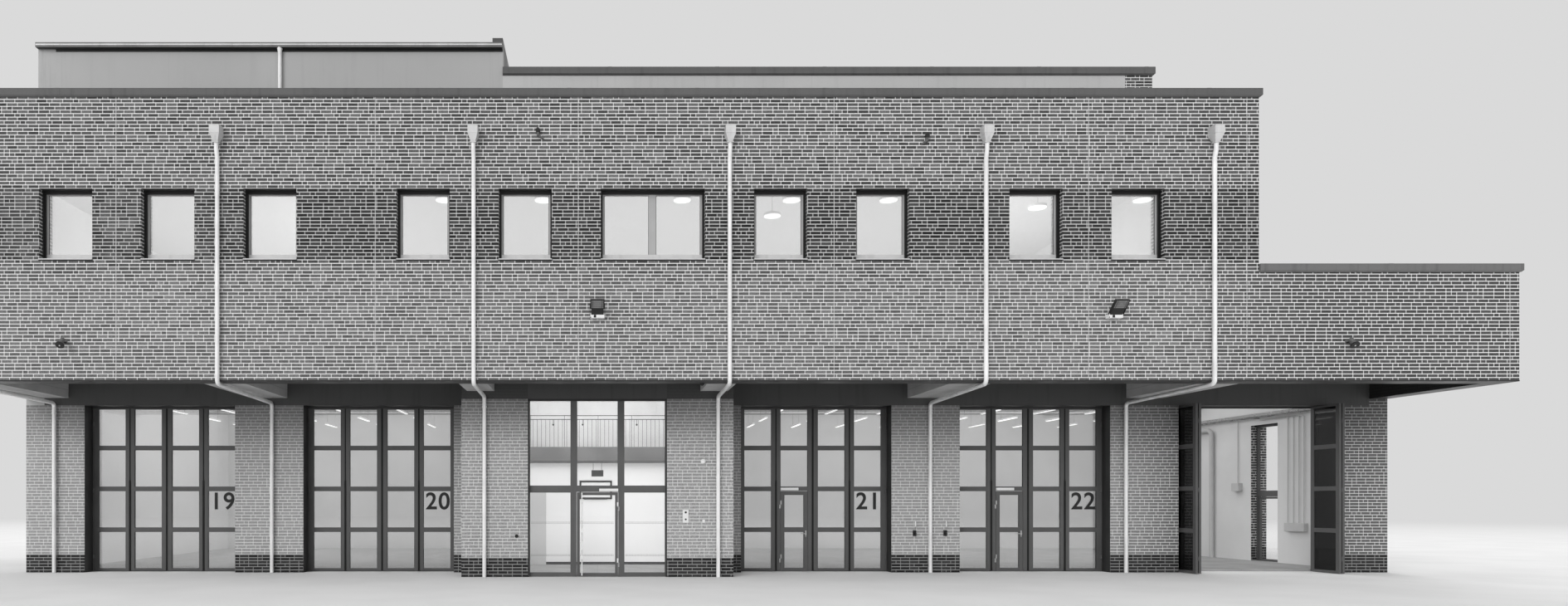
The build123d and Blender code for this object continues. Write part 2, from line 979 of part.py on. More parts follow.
door_span_z = (leaf_bottom, transom_z - door_gap)
door_span_x = (-post_in + door_gap, post_in - door_gap)
door_axis_x = post_in - door_gap / 2
door_back = glazing_y + leaf_t
door_pane_w = length(door_span_x) - 2 * door_stile
door_pane_h = length(door_span_z) - 2 * door_stile
with BuildPart() as entrance_door:
    with BuildSketch(facing(door_back)):
        with Locations((0, middle(door_span_z))):
            Rectangle(length(door_span_x), length(door_span_z))
            Rectangle(door_pane_w, door_pane_h, mode=Mode.SUBTRACT)
    extrude(amount=leaf_t)
save(entrance_door, "entrance_door")

with BuildPart() as entrance_door_glass:
    with BuildSketch(facing(door_back - pane_set)):
        with Locations((0, middle(door_span_z))):
            Rectangle(door_pane_w, door_pane_h)
    extrude(amount=pane_t)
save(entrance_door_glass, "entrance_door_glass")

# The pull bar runs the whole height of the door, on a stub at either rail
bar_ends = (door_span_z[0] + door_stile / 2, door_span_z[1] - door_stile / 2)
with BuildPart() as entrance_door_fittings:
    for z in door_hinge_levels:
        hinge_half(glazing_plane, door_axis_x, z + upper_half, -1)
    with BuildSketch(Plane.XY.offset(bar_ends[0] - pull_bar_r)) as bar:
        with Locations((pull_bar_x, glazing_y - pull_bar_off)):
            Circle(pull_bar_r)
    extrude(bar.sketch, amount=length(bar_ends) + 2 * pull_bar_r)
    with BuildSketch(glazing_plane) as stubs:
        with Locations(*[(pull_bar_x, z) for z in bar_ends]):
            Rectangle(2 * lever_r, 2 * lever_r)
    extrude(stubs.sketch, amount=pull_bar_off)
save(entrance_door_fittings, "entrance_door_fittings")

side_leaf_y = (side_clear_y[0] + door_gap, side_clear_y[1] - door_gap)
side_leaf_z = (floor_t + door_gap, side_transom_z - door_gap)
side_leaf_x = side_frame_x + glazing_t - leaf_t
side_plane = sideways(side_span_x[1])
side_axis_y = side_clear_y[1] - door_gap / 2
side_pane_w = length(side_leaf_y) - 2 * door_stile
side_pane_h = length(side_leaf_z) - 2 * door_stile
with BuildPart() as side_door:
    with BuildSketch(sideways(side_leaf_x)):
        with Locations((middle(side_leaf_y), middle(side_leaf_z))):
            Rectangle(length(side_leaf_y), length(side_leaf_z))
            Rectangle(side_pane_w, side_pane_h, mode=Mode.SUBTRACT)
    extrude(amount=leaf_t)
save(side_door, "side_door")

with BuildPart() as side_door_glass:
    with BuildSketch(sideways(side_leaf_x + pane_set)):
        with Locations((middle(side_leaf_y), middle(side_leaf_z))):
            Rectangle(side_pane_w, side_pane_h)
    extrude(amount=pane_t)
save(side_door_glass, "side_door_glass")

with BuildPart() as side_door_fittings:
    for z in door_hinge_levels:
        hinge_half(side_plane, side_axis_y, z + upper_half, -1)
    lever(side_plane, side_leaf_y[0] + door_stile / 2, 1)
save(side_door_fittings, "side_door_fittings")

# Hinge halves and closers that stay on the frames

with BuildPart() as door_hinges:
    for axis_x in wicket_axes:
        for z in wicket_hinge_levels:
            hinge_half(gate_plane, axis_x, z, -1)
    for z in door_hinge_levels:
        hinge_half(glazing_plane, door_axis_x, z, 1)
        hinge_half(side_plane, side_axis_y, z, 1)
save(door_hinges, "door_hinges")

closers = [(gate_plane, x, 1, wicket_head) for x in wicket_axes]
closers.append((glazing_plane, door_axis_x, -1, transom_z))
closers.append((side_plane, side_axis_y, -1, side_transom_z))
with BuildPart() as door_closers:
    for plane, axis_place, toward, head in closers:
        with BuildSketch(plane) as housing:
            with Locations(
                (axis_place + toward * closer_w / 2, head + closer_set + closer_h / 2),
            ):
                Rectangle(closer_w, closer_h)
        extrude(housing.sketch, amount=closer_t)
save(door_closers, "door_closers")

# Rooms that show through the entrance

hall_in = entrance_half - wall_t
back_wall_far = hall_wall_y + partition_t
with BuildPart() as hall_partitions:
    for side in (-1, 1):
        span = sorted((side * hall_in, side * (hall_in + partition_t)))
        slab(span, (wall_t, back_wall_far), (floor_t, floor_under))
save(hall_partitions, "hall_partitions")

with BuildPart() as entrance_back_wall:
    slab((-hall_in, hall_in), (hall_wall_y, back_wall_far), (floor_t, floor_under))
save(entrance_back_wall, "entrance_back_wall")

gallery_top = gallery_z + gallery_t
with BuildPart() as gallery_deck:
    slab((-hall_in, hall_in), (gallery_y, hall_wall_y), (gallery_z, gallery_top))
save(gallery_deck, "gallery_deck")

rail_count = int(2 * hall_in / rail_pitch) - 1
with BuildPart() as gallery_rail:
    with BuildSketch(facing(gallery_y + rail_t)):
        with Locations((0, gallery_top + rail_h - rail_t / 2)):
            Rectangle(2 * hall_in, rail_t)
        with Locations((0, gallery_top + rail_h / 2)):
            with GridLocations(rail_pitch, 0, rail_count, 1):
                Rectangle(rail_bar, rail_h)
    extrude(amount=rail_t)
save(gallery_rail, "gallery_rail")

# Rainwater: hopper heads, pipes that turn in under the canopy, and their brackets

hopper_y = front_y - hopper_depth / 2
taper_z = hopper_z + hopper_flange_h
rim_z = taper_z + hopper_taper_h
throat_half = pipe_r + hopper_t
with BuildPart() as hopper_taper:
    upright(
        [
            (-throat_half, taper_z),
            (throat_half, taper_z),
            (hopper_w / 2, rim_z),
            (-hopper_w / 2, rim_z),
        ],
        facing(front_y),
        hopper_depth,
    )
    upright(
        [
            (hopper_y - throat_half, taper_z),
            (hopper_y + throat_half, taper_z),
            (front_y, rim_z),
            (front_y - hopper_depth, rim_z),
        ],
        sideways(-hopper_w / 2),
        hopper_w,
        mode=Mode.INTERSECT,
    )

with BuildPart() as rain_hoppers:
    for x in pipe_places:
        slab(
            (x - hopper_foot / 2, x + hopper_foot / 2),
            (hopper_y - hopper_foot / 2, hopper_y + hopper_foot / 2),
            (hopper_z, taper_z),
        )
        with Locations((x, 0)):
            add(hopper_taper.part)
        rim_span_z = (rim_z, rim_z + hopper_rim_h)
        slab(
            (x - hopper_w / 2, x + hopper_w / 2),
            (front_y - hopper_depth, front_y),
            rim_span_z,
        )
        slab(
            (x - hopper_w / 2 + hopper_t, x + hopper_w / 2 - hopper_t),
            (front_y - hopper_depth + hopper_t, front_y - hopper_t),
            rim_span_z,
            mode=Mode.SUBTRACT,
        )
save(rain_hoppers, "rain_hoppers")

pipe_y = front_y - pipe_off


def wall_behind(x):
    """Face of the ground floor wall behind the canopy at this place."""
    return entrance_y if abs(x) < entrance_half else 0


with BuildPart() as downpipes:
    for x in pipe_places:
        low_y = wall_behind(x) - pipe_off
        with BuildLine() as route:
            Polyline(
                (x, hopper_y, hopper_z),
                (x, hopper_y, swan_z[0]),
                (x, pipe_y, swan_z[1]),
                (x, pipe_y, pipe_turn_z),
                (x, low_y, pipe_turn_z - pipe_fall),
                (x, low_y, 0),
            )
        with BuildSketch(Plane((x, hopper_y, hopper_z), z_dir=(0, 0, -1))) as bore:
            RegularPolygon(pipe_r, pipe_sides)
        sweep(bore.sketch, path=route.wires()[0], transition=Transition.RIGHT)
    funnel_y = roof_front_y - gutter_w / 2
    with BuildSketch(Plane.XY.offset(roof_z)) as roof_pipe:
        with Locations((roof_pipe_x, funnel_y)):
            RegularPolygon(pipe_r, pipe_sides)
    extrude(roof_pipe.sketch, amount=gutter_z - funnel_h - roof_z)
    with BuildSketch(Plane.XY.offset(gutter_z - funnel_h)) as throat:
        with Locations((roof_pipe_x, funnel_y)):
            RegularPolygon(pipe_r, pipe_sides)
    with BuildSketch(Plane.XY.offset(gutter_z)) as lip:
        with Locations((roof_pipe_x, funnel_y)):
            RegularPolygon(gutter_w / 2, pipe_sides)
    loft([throat.sketch.face(), lip.sketch.face()], ruled=True)
save(downpipes, "downpipes")

with BuildPart() as pipe_brackets:
    for x in pipe_places:
        across = (x - bracket_w / 2, x + bracket_w / 2)
        for z in bracket_levels:
            slab(across, (pipe_y + pipe_r, front_y), (z, z + bracket_w))
        for z in low_bracket_levels:
            wall = wall_behind(x)
            slab(across, (wall - pipe_off + pipe_r, wall), (z, z + bracket_w))
save(pipe_brackets, "pipe_brackets")

# Floodlights, cameras and small plates on the front

with BuildPart() as wall_fittings:
    for x in flood_places:
        slab(
            (x - flood_w / 2, x + flood_w / 2),
            (front_y - flood_box_d, front_y),
            (flood_z, flood_z + flood_box_h),
        )
        head = Plane(
            (x, front_y - flood_box_d, flood_z + flood_box_h),
            x_dir=(1, 0, 0),
            z_dir=(0, -1, 0),
        ).rotated((flood_tilt, 0, 0))
        with BuildSketch(head) as housing:
            with Locations((0, flood_head_l / 2 - flood_seat)):
                Rectangle(flood_w, flood_head_l)
        extrude(housing.sketch, amount=-flood_head_t)
    for x in camera_places:
        slab(
            (x - bracket_w / 2, x + bracket_w / 2),
            (front_y - camera_r, front_y),
            (camera_z - bracket_w / 2, camera_z + bracket_w / 2),
        )
        aim = Plane(
            (x, front_y - camera_r, camera_z),
            x_dir=(1, 0, 0),
            z_dir=(0, -1, 0),
        ).rotated((camera_tilt, 0, 0))
        with BuildSketch(aim) as body:
            Circle(camera_r)
        extrude(body.sketch, amount=camera_l)
        with BuildSketch(aim.offset(camera_l)) as shade:
            Circle(shade_r)
        extrude(shade.sketch, amount=shade_t)
    slab(
        (call_x - call_w / 2, call_x + call_w / 2),
        (entrance_y - call_t, entrance_y),
        (call_z - call_h / 2, call_z + call_h / 2),
    )
    with BuildSketch(facing(entrance_y)) as lamp:
        with Locations((lamp_x, lamp_z)):
            Circle(lamp_r)
    extrude(lamp.sketch, amount=lamp_t)
    for x in tap_places:
        slab(
            (x - tap_w / 2, x + tap_w / 2),
            (-tap_t, 0),
            (tap_z - tap_h / 2, tap_z + tap_h / 2),
        )
save(wall_fittings, "wall_fittings")
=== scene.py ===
import math
from functools import cached_property

import bmesh
import bpy
from mathutils import Matrix, Vector


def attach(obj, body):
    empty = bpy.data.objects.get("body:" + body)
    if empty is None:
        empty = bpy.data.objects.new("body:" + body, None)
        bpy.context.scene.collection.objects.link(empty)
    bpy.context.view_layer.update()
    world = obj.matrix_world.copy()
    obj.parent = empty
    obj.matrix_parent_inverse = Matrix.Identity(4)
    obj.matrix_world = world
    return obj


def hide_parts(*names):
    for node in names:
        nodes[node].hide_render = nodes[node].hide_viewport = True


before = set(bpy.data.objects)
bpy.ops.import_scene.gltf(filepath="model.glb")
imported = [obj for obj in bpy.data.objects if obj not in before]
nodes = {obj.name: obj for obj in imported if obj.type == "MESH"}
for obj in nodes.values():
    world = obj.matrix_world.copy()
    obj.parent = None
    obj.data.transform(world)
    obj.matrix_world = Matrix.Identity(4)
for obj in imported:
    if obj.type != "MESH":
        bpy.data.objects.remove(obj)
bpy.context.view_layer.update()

# Walls and floors, with the sizes of the CAD source, in metres

BAY = 6.0
WALL = 0.5
LEFT = -2.5 * BAY - 0.66
STEP = 2.5 * BAY + 0.54
RIGHT = 3.5 * BAY + 0.66
END_FACE = RIGHT - WALL
FRONT = -3.65
FRONT_IN = FRONT + 0.44
REAR_IN = WALL + 12.2
REAR = REAR_IN + WALL
ENTRANCE_Y = -1.57
ENTRANCE_HALF = 3.5
HALL_FLOOR = 0.05
SOFFIT = 4.76
DECK = 5.45
HALL_CEILING = 6.4
UPPER_CEILING = 10.5
ROOF = 10.9
WALL_TOP, LOW_TOP, CAP_H = 11.43, 7.32, 0.19
STOREY_FRONT, STOREY_REAR = FRONT + 4.2, REAR - 4.2
STOREY_TOP, STOREY_CAP_H = 13.87, 0.22
STOREY_BRICK = STEP - 0.76
TALL_X = -2.65
GUTTER_FOOT, GUTTER_W = 14.6, 0.15

# Gates, each with four leaves of four panes

GATE_CENTRES = tuple(BAY * place for place in (-2, -1, 1, 2, 3))
OPEN_GATE = 4
WICKET_GATES = (2, 3)
GATE_HALF = 2.065
GATE_HEAD = 4.58
GATE_FACE = 0.42
LEAF_T = 0.06
JAMB, FOLD_GAP, MEET_GAP = 0.036, 0.01, 0.04
LEAF_W = (2 * (GATE_HALF - JAMB - FOLD_GAP) - MEET_GAP) / 4
LEAF_FOOT = 0.015
PANE_W, PANE_H = 0.765, 1.03
STILE = (LEAF_W - PANE_W) / 2
PANE_LEVELS = tuple(0.59 + 1.138 * row for row in range(4))
STACK_OFFS = (0.07, 0.16)
FOLDED_END = GATE_FACE - 0.04 - LEAF_W
WICKET_GAP, WICKET_STILE = 0.009, 0.095

# Entrance glazing and its hall

GLAZING_HALF = 1.79
GLAZING = ENTRANCE_Y + 0.12
COLUMNS = [(1.22 * place - 0.54, 1.22 * place + 0.54) for place in (-1, 0, 1)]
LOBBY = (-2.98, 2.98)
LOBBY_WALL = 2.6
GALLERY_Y, GALLERY_FLOOR, RAIL_TOP = 1.0, 3.5, 4.4

# Windows and brick courses

SILL = 7.61
SILL_TOP = SILL + 0.025
WINDOW_H = 1.675
WINDOW_HEAD = SILL + WINDOW_H
WINDOW_START, WINDOW_PITCH = 0.08, 1.2
WINDOW_SLOTS = (-11, -9, -7, -4, -2, 0, 3, 5, 8, 10)
WINDOW_W, DOUBLE_W = 1.25, 2.45
COURSE = WINDOW_H / 20
BRICK = 0.25
RUN = 3 * BRICK
PLINTH = SILL - 85 * COURSE
OVER_ALL = 100.0

# Rainwater

PIPE_PLACES = (-14.85, -8.9, -2.9, 3.1, 9.1, 14.45)
PIPE_R, PIPE_OFF = 0.05, 0.08
PIPE_Y = FRONT - PIPE_OFF
HOPPER_Y = FRONT - 0.135
HOPPER_FOOT, HOPPER_TOP = 10.3, 10.692
ROOF_PIPE_X = -8.87


# Materials

def grey(level):
    """Neutral colour that shows in a picture at this level, from 0 to 255."""
    share = level / 255
    linear = share / 12.92 if share <= 0.04045 else ((share + 0.055) / 1.055) ** 2.4
    return (linear, linear, linear, 1.0)


class Graph:
    """Nodes of a material or a world."""

    def __init__(self, name, kind="materials"):
        self.owner = getattr(bpy.data, kind).new(name)
        self.owner.use_nodes = True
        self.tree = self.owner.node_tree
        self.tree.nodes.clear()

    @cached_property
    def place(self):
        """Place on the piece, in metres."""
        return self.add("TexCoord").outputs["Object"]

    def add(self, kind, inputs=None, **settings):
        """New node; each of its inputs is a value or a socket."""
        node = self.tree.nodes.new("ShaderNode" + kind)
        for key, value in settings.items():
            setattr(node, key, value)
        for key, value in (inputs or {}).items():
            if isinstance(value, bpy.types.NodeSocket):
                self.tree.links.new(value, node.inputs[key])
            else:
                node.inputs[key].default_value = value
        return node

    def math(self, operation, *values):
        """Result of one Math node."""
        inputs = dict(enumerate(values))
        return self.add("Math", inputs, operation=operation).outputs[0]

    def above(self, value, limit):
        """1 where the value is above the limit, else 0."""
        return self.math("GREATER_THAN", value, limit)

    def below(self, value, limit):
        """1 where the value is below the limit, else 0."""
        return self.math("LESS_THAN", value, limit)

    def times(self, first, *others):
        """Product, which is 1 where every test among its factors holds."""
        for other in others:
            first = self.math("MULTIPLY", first, other)
        return first

    def most(self, first, *others):
        """Largest of the values."""
        for other in others:
            first = self.math("MAXIMUM", first, other)
        return first

    def rest(self, share):
        """What a share leaves of 1."""
        return self.math("SUBTRACT", 1.0, share)

    def parts(self, vector):
        """X, Y and Z of a vector."""
        return self.add("SeparateXYZ", {0: vector}).outputs

    def facing(self):
        """X, Y and Z of the way a face looks."""
        return self.parts(self.add("NewGeometry").outputs["True Normal"])

    def vector(self, x, y, z=0.0):
        """Vector from its three parts."""
        return self.add("CombineXYZ", {0: x, 1: y, 2: z}).outputs[0]

    def noise(self, scale, detail=3.0, stretch=None):
        """Soft noise with features about 1 / scale metres wide."""
        source = self.place
        if stretch:
            source = self.add("Mapping", {0: source, 3: stretch}).outputs[0]
        return self.add("TexNoise", {0: source, "Scale": scale, "Detail": detail}).outputs[0]

    def chance(self, dimensions, **inputs):
        """Chance value from 0 to 1 that the inputs alone decide."""
        return self.add("TexWhiteNoise", inputs, noise_dimensions=dimensions).outputs["Value"]

    def lines(self, across, up, width, height, gap, offset=0.0):
        """1 on the joints of a field of panels, else 0."""
        inputs = {"Vector": self.vector(across, up), "Scale": 1.0, "Mortar Size": gap,
                  "Brick Width": width, "Row Height": height}
        return self.add("TexBrick", inputs, offset=offset).outputs["Fac"]

    def remap(self, value, low, high, to_low=0.0, to_high=1.0):
        """Value between two limits, spread over another range."""
        inputs = {0: value, 1: low, 2: high, 3: to_low, 4: to_high}
        return self.add("MapRange", inputs, interpolation_type="SMOOTHSTEP").outputs[0]

    def clouds(self, scale, detail=4.0):
        """Broad soft patches, from 0 to 1."""
        return self.remap(self.noise(scale, detail), 0.3, 0.7)

    def mix(self, share, first, second, blend="MIX"):
        """Mix of two colours."""
        inputs = {0: share, 6: first, 7: second}
        return self.add("Mix", inputs, data_type="RGBA", blend_type=blend).outputs[2]

    def greys(self, share, low, high):
        """Grey between two levels."""
        return self.mix(share, grey(low), grey(high))

    def speckle(self, tone, share, grain, level, spread):
        """Colour with grains round a level mixed into it."""
        return self.mix(share, tone, self.greys(grain, level - spread, level + spread))

    def toward(self, tone, level, share, most=None):
        """Colour moved to a grey by a share, or by at most a part of it."""
        if most is not None:
            share = self.times(share, most)
        return self.mix(share, tone, grey(level))

    def bump(self, height, distance, strength=1.0):
        """Normal from a height."""
        inputs = {"Height": height, "Distance": distance, "Strength": strength}
        return self.add("Bump", inputs).outputs[0]

    def finish(self, **inputs):
        """Material with a Principled shader of these inputs."""
        named = {key.replace("_", " "): value for key, value in inputs.items()}
        self.add("OutputMaterial", {0: self.add("BsdfPrincipled", named).outputs[0]})
        return self.owner


def surface(name, level, spread=4, clouds=2.0, grain=60.0, rough=0.6, metal=0.0,
            relief=0.0003, streaks=0.0, paler_below=None, inside_level=None):
    """Plain finish with soft clouds, fine grain and rain marks."""
    g = Graph(name)
    patches = g.clouds(clouds)
    tone = g.greys(patches, level - spread, level + spread)
    if paler_below is not None:
        tone = g.toward(tone, level + 24, g.below(g.parts(g.place)[2], paler_below))
    fine = g.noise(grain, 2.0)
    tone = g.speckle(tone, 0.35, fine, level, 2 * spread)
    if streaks:
        marks = g.remap(g.noise(3.0, 3.0, (2.5, 2.5, 0.18)), 0.5, 0.75, 0.0, streaks)
        tone = g.toward(tone, level * 0.72, marks)
    if inside_level is not None:
        plaster = g.greys(patches, inside_level - 4, inside_level + 4)
        tone = g.mix(indoors(g), tone, plaster)
    roughness = g.remap(patches, 0.0, 1.0, rough - 0.07, rough + 0.07)
    return g.finish(Base_Color=tone, Roughness=roughness, Metallic=metal,
                    Normal=g.bump(fine, relief))


def wall_place(g):
    """Place on a wall: along it and up it, or along and across a level face."""
    x, y, z = g.parts(g.place)
    turned = g.facing()
    side = g.above(g.math("ABSOLUTE", turned[0]), 0.6)
    level = g.above(g.math("ABSOLUTE", turned[2]), 0.6)
    along = g.math("MULTIPLY_ADD", side, g.math("SUBTRACT", y, x), x)
    height = g.math("MULTIPLY_ADD", level, g.math("SUBTRACT", y, z), z)
    return along, height, turned, side


HAIR = 0.001
WALL_FACE = WALL - HAIR
UPPER_FROM, LOW_ROOF_FROM, ROOF_FROM = 5.71, 6.95, ROOF + 0.01


def indoors(g):
    """1 on the faces that look into the halls and the upper storey, else 0."""
    x, y, z = g.parts(g.place)
    front = g.math("MULTIPLY_ADD", g.above(z, UPPER_FROM), FRONT_IN - WALL, WALL_FACE)
    right = g.math("MULTIPLY_ADD", g.above(z, LOW_ROOF_FROM), STEP - RIGHT, RIGHT - WALL_FACE)
    return g.times(g.above(y, front), g.below(y, REAR_IN + HAIR), g.above(x, LEFT + WALL_FACE),
                   g.below(x, right), g.below(z, ROOF_FROM))


def under_canopy(g):
    """1 on the wall faces that close the space under the canopy deck, else 0."""
    x, y, z = g.parts(g.place)
    return g.times(g.above(y, FRONT_IN - HAIR), g.below(y, -HAIR), g.below(x, RIGHT - WALL_FACE),
                   g.above(z, SOFFIT + HAIR), g.below(z, DECK))


def bond(g, along, up, fine):
    """Irregular bond: 1 on brick and 0 on joints, and a chance value for each brick."""
    row = g.math("FLOOR", g.math("DIVIDE", up, COURSE))
    in_row = g.math("SUBTRACT", up, g.times(row, COURSE))
    steps = g.math("FLOOR", g.times(g.chance("1D", W=row), 12.0))
    moved = g.math("MULTIPLY_ADD", steps, BRICK / 4, along)
    cell = g.math("FLOOR", g.math("DIVIDE", moved, RUN))
    spot = g.math("SUBTRACT", moved, g.times(cell, RUN))
    headers = g.below(g.chance("2D", Vector=g.vector(cell, row)), 0.4)
    distance = g.math("MINIMUM", spot, g.math("SUBTRACT", RUN, spot))
    number = 0.0
    for place in (1, 2, 3):
        joint = g.math("MULTIPLY_ADD", headers, -BRICK / 2, BRICK * place)
        past = g.math("SUBTRACT", spot, joint)
        distance = g.math("MINIMUM", distance, g.math("ABSOLUTE", past))
        number = g.math("ADD", number, g.above(past, 0.0))
    ragged = g.math("MULTIPLY_ADD", fine, 0.008, -0.004)
    bed = g.math("MINIMUM", in_row, g.math("SUBTRACT", COURSE, in_row))
    beds = g.remap(g.math("ADD", bed, ragged), 0.0070, 0.0110)
    heads = g.remap(g.math("ADD", distance, ragged), 0.0062, 0.0100, 0.2, 1.0)
    return g.times(beds, heads), g.chance("3D", Vector=g.vector(cell, row, number))


def brickwork(name, dark_below=PLINTH, dark_levels=(26, 58), shaded_above=OVER_ALL, paler_from=None):
    """Brick of many tones with pale joints, painted on the faces that look indoors, with painted light
    under the canopy and painted shade there, on undersides, above a given height and toward the right
    end.
    """
    g = Graph(name)
    x, y, _ = g.parts(g.place)
    along, height, turned, side = wall_place(g)
    square_on = g.rest(side)
    fine = g.noise(55.0, 4.0)
    face, tint = bond(g, along, g.math("SUBTRACT", height, SILL), fine)
    clouds = g.clouds(0.45)
    # Zone under the canopy that gets painted light and painted shade below
    canopy_zone = g.times(g.below(height, SOFFIT), g.remap(y, 0.3, 3.0, 1.0, 0.0))
    low = g.below(height, dark_below)

    # Bricks: paler under the canopy, which is painted light, and over the base; darker at the right
    # end, which is painted shade
    plain = g.toward(g.greys(tint, 66, 117), 64, g.above(tint, 0.95))
    # Painted light: bricks under the canopy lifted toward a pale grey
    plain = g.toward(plain, 178, canopy_zone, 0.66)
    plain = g.toward(plain, 196, g.remap(height, 6.9, 7.7, 0.11, 0.0))
    # Painted shade: bricks on faces that don't look sideways darken toward the right end
    plain = g.toward(plain, 58, g.remap(x, 13.0, 17.0, 0.0, 0.7), square_on)
    dark = g.greys(tint, *dark_levels)
    if paler_from is not None:
        patches = g.remap(g.noise(0.8), 0.35, 0.62)
        edge = g.remap(x, paler_from - 4.0, paler_from, 0.75, 0.0)
        dark = g.mix(g.times(g.math("ADD", edge, 0.12), patches, square_on), dark, plain)
    brick = g.mix(low, plain, dark)
    grain = g.greys(g.remap(fine, 0.3, 0.7), 0, 212)
    brick = g.mix(0.6, brick, grain, "SOFT_LIGHT")
    brick = g.mix(clouds, g.toward(brick, 40, 0.1), brick)

    # Joints: greyer under the canopy and in the dark courses
    joint = g.toward(g.greys(fine, 206, 238), 168, canopy_zone, 0.25)
    joint = g.toward(joint, 140, low, 0.42)
    joint = g.toward(joint, 112, g.below(height, PLINTH), 0.6)

    # Whole wall: painted shade that deepens toward the top under the canopy, a band of painted shade
    # above a given height, painted shade on undersides and on side faces under the deck, and plaster
    # paint on the inner faces
    tone = g.mix(face, joint, brick)
    # Painted shade: bricks and joints darken toward the top of the wall under the canopy
    tone = g.toward(tone, 58, canopy_zone, g.remap(height, 3.1, 4.8, 0.0, 0.5))
    # Painted shade: a flat dark band above the given height, where the canopy's deep shade falls
    shade_band = g.above(height, shaded_above)
    tone = g.toward(tone, 68, shade_band)
    # Painted shade: faces that look down, and side faces under the canopy deck, turn near-black
    under = g.most(g.below(turned[2], -0.6), g.times(side, under_canopy(g)))
    tone = g.toward(tone, 30, under)
    inside = indoors(g)
    tone = g.mix(inside, tone, g.greys(clouds, 205, 216))
    relief = g.times(g.math("MULTIPLY_ADD", fine, 0.35, face), g.rest(g.most(inside, under, shade_band)))
    rough = g.remap(face, 0.0, 1.0, 0.95, 0.8)
    return g.finish(Base_Color=tone, Roughness=rough, Normal=g.bump(relief, 0.007, 0.8))


def concrete(name, level, board=2.5, lift=1.25):
    """Cast concrete with form joints, pores and clouds."""
    g = Graph(name)
    along, height, _, _ = wall_place(g)
    joints = g.lines(along, height, board, lift, 0.006)
    fine = g.noise(70.0)
    pores = g.add("TexVoronoi", {"Vector": g.place, "Scale": 26.0}).outputs[0]
    holes = g.remap(pores, 0.05, 0.12, 1.0, 0.0)
    tone = g.greys(g.clouds(1.1, 5.0), level - 10, level + 9)
    tone = g.speckle(tone, 0.2, fine, level, 30)
    tone = g.toward(tone, level * 0.6, holes, 0.4)
    tone = g.toward(tone, level * 0.62, joints, 0.5)
    relief = g.math("SUBTRACT", g.times(fine, 0.3), g.most(holes, joints))
    return g.finish(Base_Color=tone, Roughness=0.82, Normal=g.bump(relief, 0.002, 0.7))


def roofing(name, level, below):
    """Roof sheet in lanes on the upper faces, plaster on the others."""
    g = Graph(name)
    x, y, _ = g.parts(g.place)
    laps = g.lines(y, x, 7.5, 1.0, 0.012, 0.5)
    grit = g.noise(120.0, 2.0)
    tone = g.greys(g.clouds(0.6, 5.0), level - 9, level + 9)
    tone = g.speckle(tone, 0.3, grit, level, 40)
    tone = g.toward(tone, level * 0.6, laps, 0.55)
    top = g.above(g.facing()[2], 0.3)
    tone = g.mix(top, grey(below), tone)
    normal = g.bump(g.times(g.math("ADD", grit, laps), top), 0.002, 0.6)
    return g.finish(Base_Color=tone, Roughness=0.9, Normal=normal)


def zinc(name, level):
    """Weathered zinc sheet with a faint spangle and runs of dirt."""
    g = Graph(name)
    spots = g.add("TexVoronoi", {"Vector": g.place, "Scale": 70.0}).outputs[1]
    clouds = g.clouds(2.2)
    runs = g.remap(g.noise(5.0, 3.0, (2.0, 2.0, 0.15)), 0.5, 0.72)
    tone = g.mix(0.06, g.greys(clouds, level - 9, level + 7), spots, "SOFT_LIGHT")
    tone = g.toward(tone, level * 0.75, runs, 0.3)
    rough = g.remap(clouds, 0.0, 1.0, 0.32, 0.46)
    normal = g.bump(g.noise(30.0, 2.0), 0.0006)
    return g.finish(Base_Color=tone, Roughness=rough, Metallic=0.35, Normal=normal)


def glass(name, share, level, open_before=None):
    """Coated pane: this share of what meets each face shines back, the rest passes."""
    g = Graph(name)
    tone = g.greys(g.noise(0.35), level - 14, level)
    if open_before is not None:
        # Painted reflection: panes of the folded-open leaves get a darker tint and a larger mirror
        # share
        swung = g.below(g.parts(g.place)[1], open_before)
        tone = g.toward(tone, 74, swung)
        share = g.math("MULTIPLY_ADD", swung, 0.45, share)
    normal = g.bump(g.noise(0.9, 2.0), 0.002, 0.15)
    return g.finish(Base_Color=tone, Metallic=1.0, Roughness=0.02, Alpha=share, Normal=normal)


def glow(name, strength):
    """White cover of a lamp that is lit."""
    g = Graph(name)
    tone = g.greys(g.noise(8.0), 236, 244)
    return g.finish(Base_Color=tone, Roughness=0.4, Emission_Color=tone, Emission_Strength=strength)


def cladding(name, level):
    """Coated wall panels with very faint upright joints and rain marks."""
    g = Graph(name)
    along, height, _, _ = wall_place(g)
    joints = g.lines(along, height, 3.0, 50.0, 0.003)
    fine = g.noise(90.0)
    tone = g.greys(g.clouds(0.35, 5.0), level - 5, level + 5)
    tone = g.speckle(tone, 0.25, fine, level, 28)
    runs = g.remap(g.noise(2.0, 3.0, (3.0, 3.0, 0.2)), 0.52, 0.75, 0.0, 0.16)
    tone = g.toward(tone, level * 0.8, runs)
    tone = g.toward(tone, level * 0.7, joints, 0.4)
    tall = g.below(g.parts(g.place)[0], TALL_X)
    tone = g.toward(tone, level - 34, tall, 0.4)
    normal = g.bump(g.math("SUBTRACT", fine, joints), 0.0015, 0.6)
    return g.finish(Base_Color=tone, Roughness=0.75, Normal=normal)


GUTTER = zinc("gutter_zinc", 122)
PIPE = zinc("pipe_zinc", 242)
HOPPER = zinc("hopper_zinc", 208)
GLOW = glow("lamp_glow", 1.3)

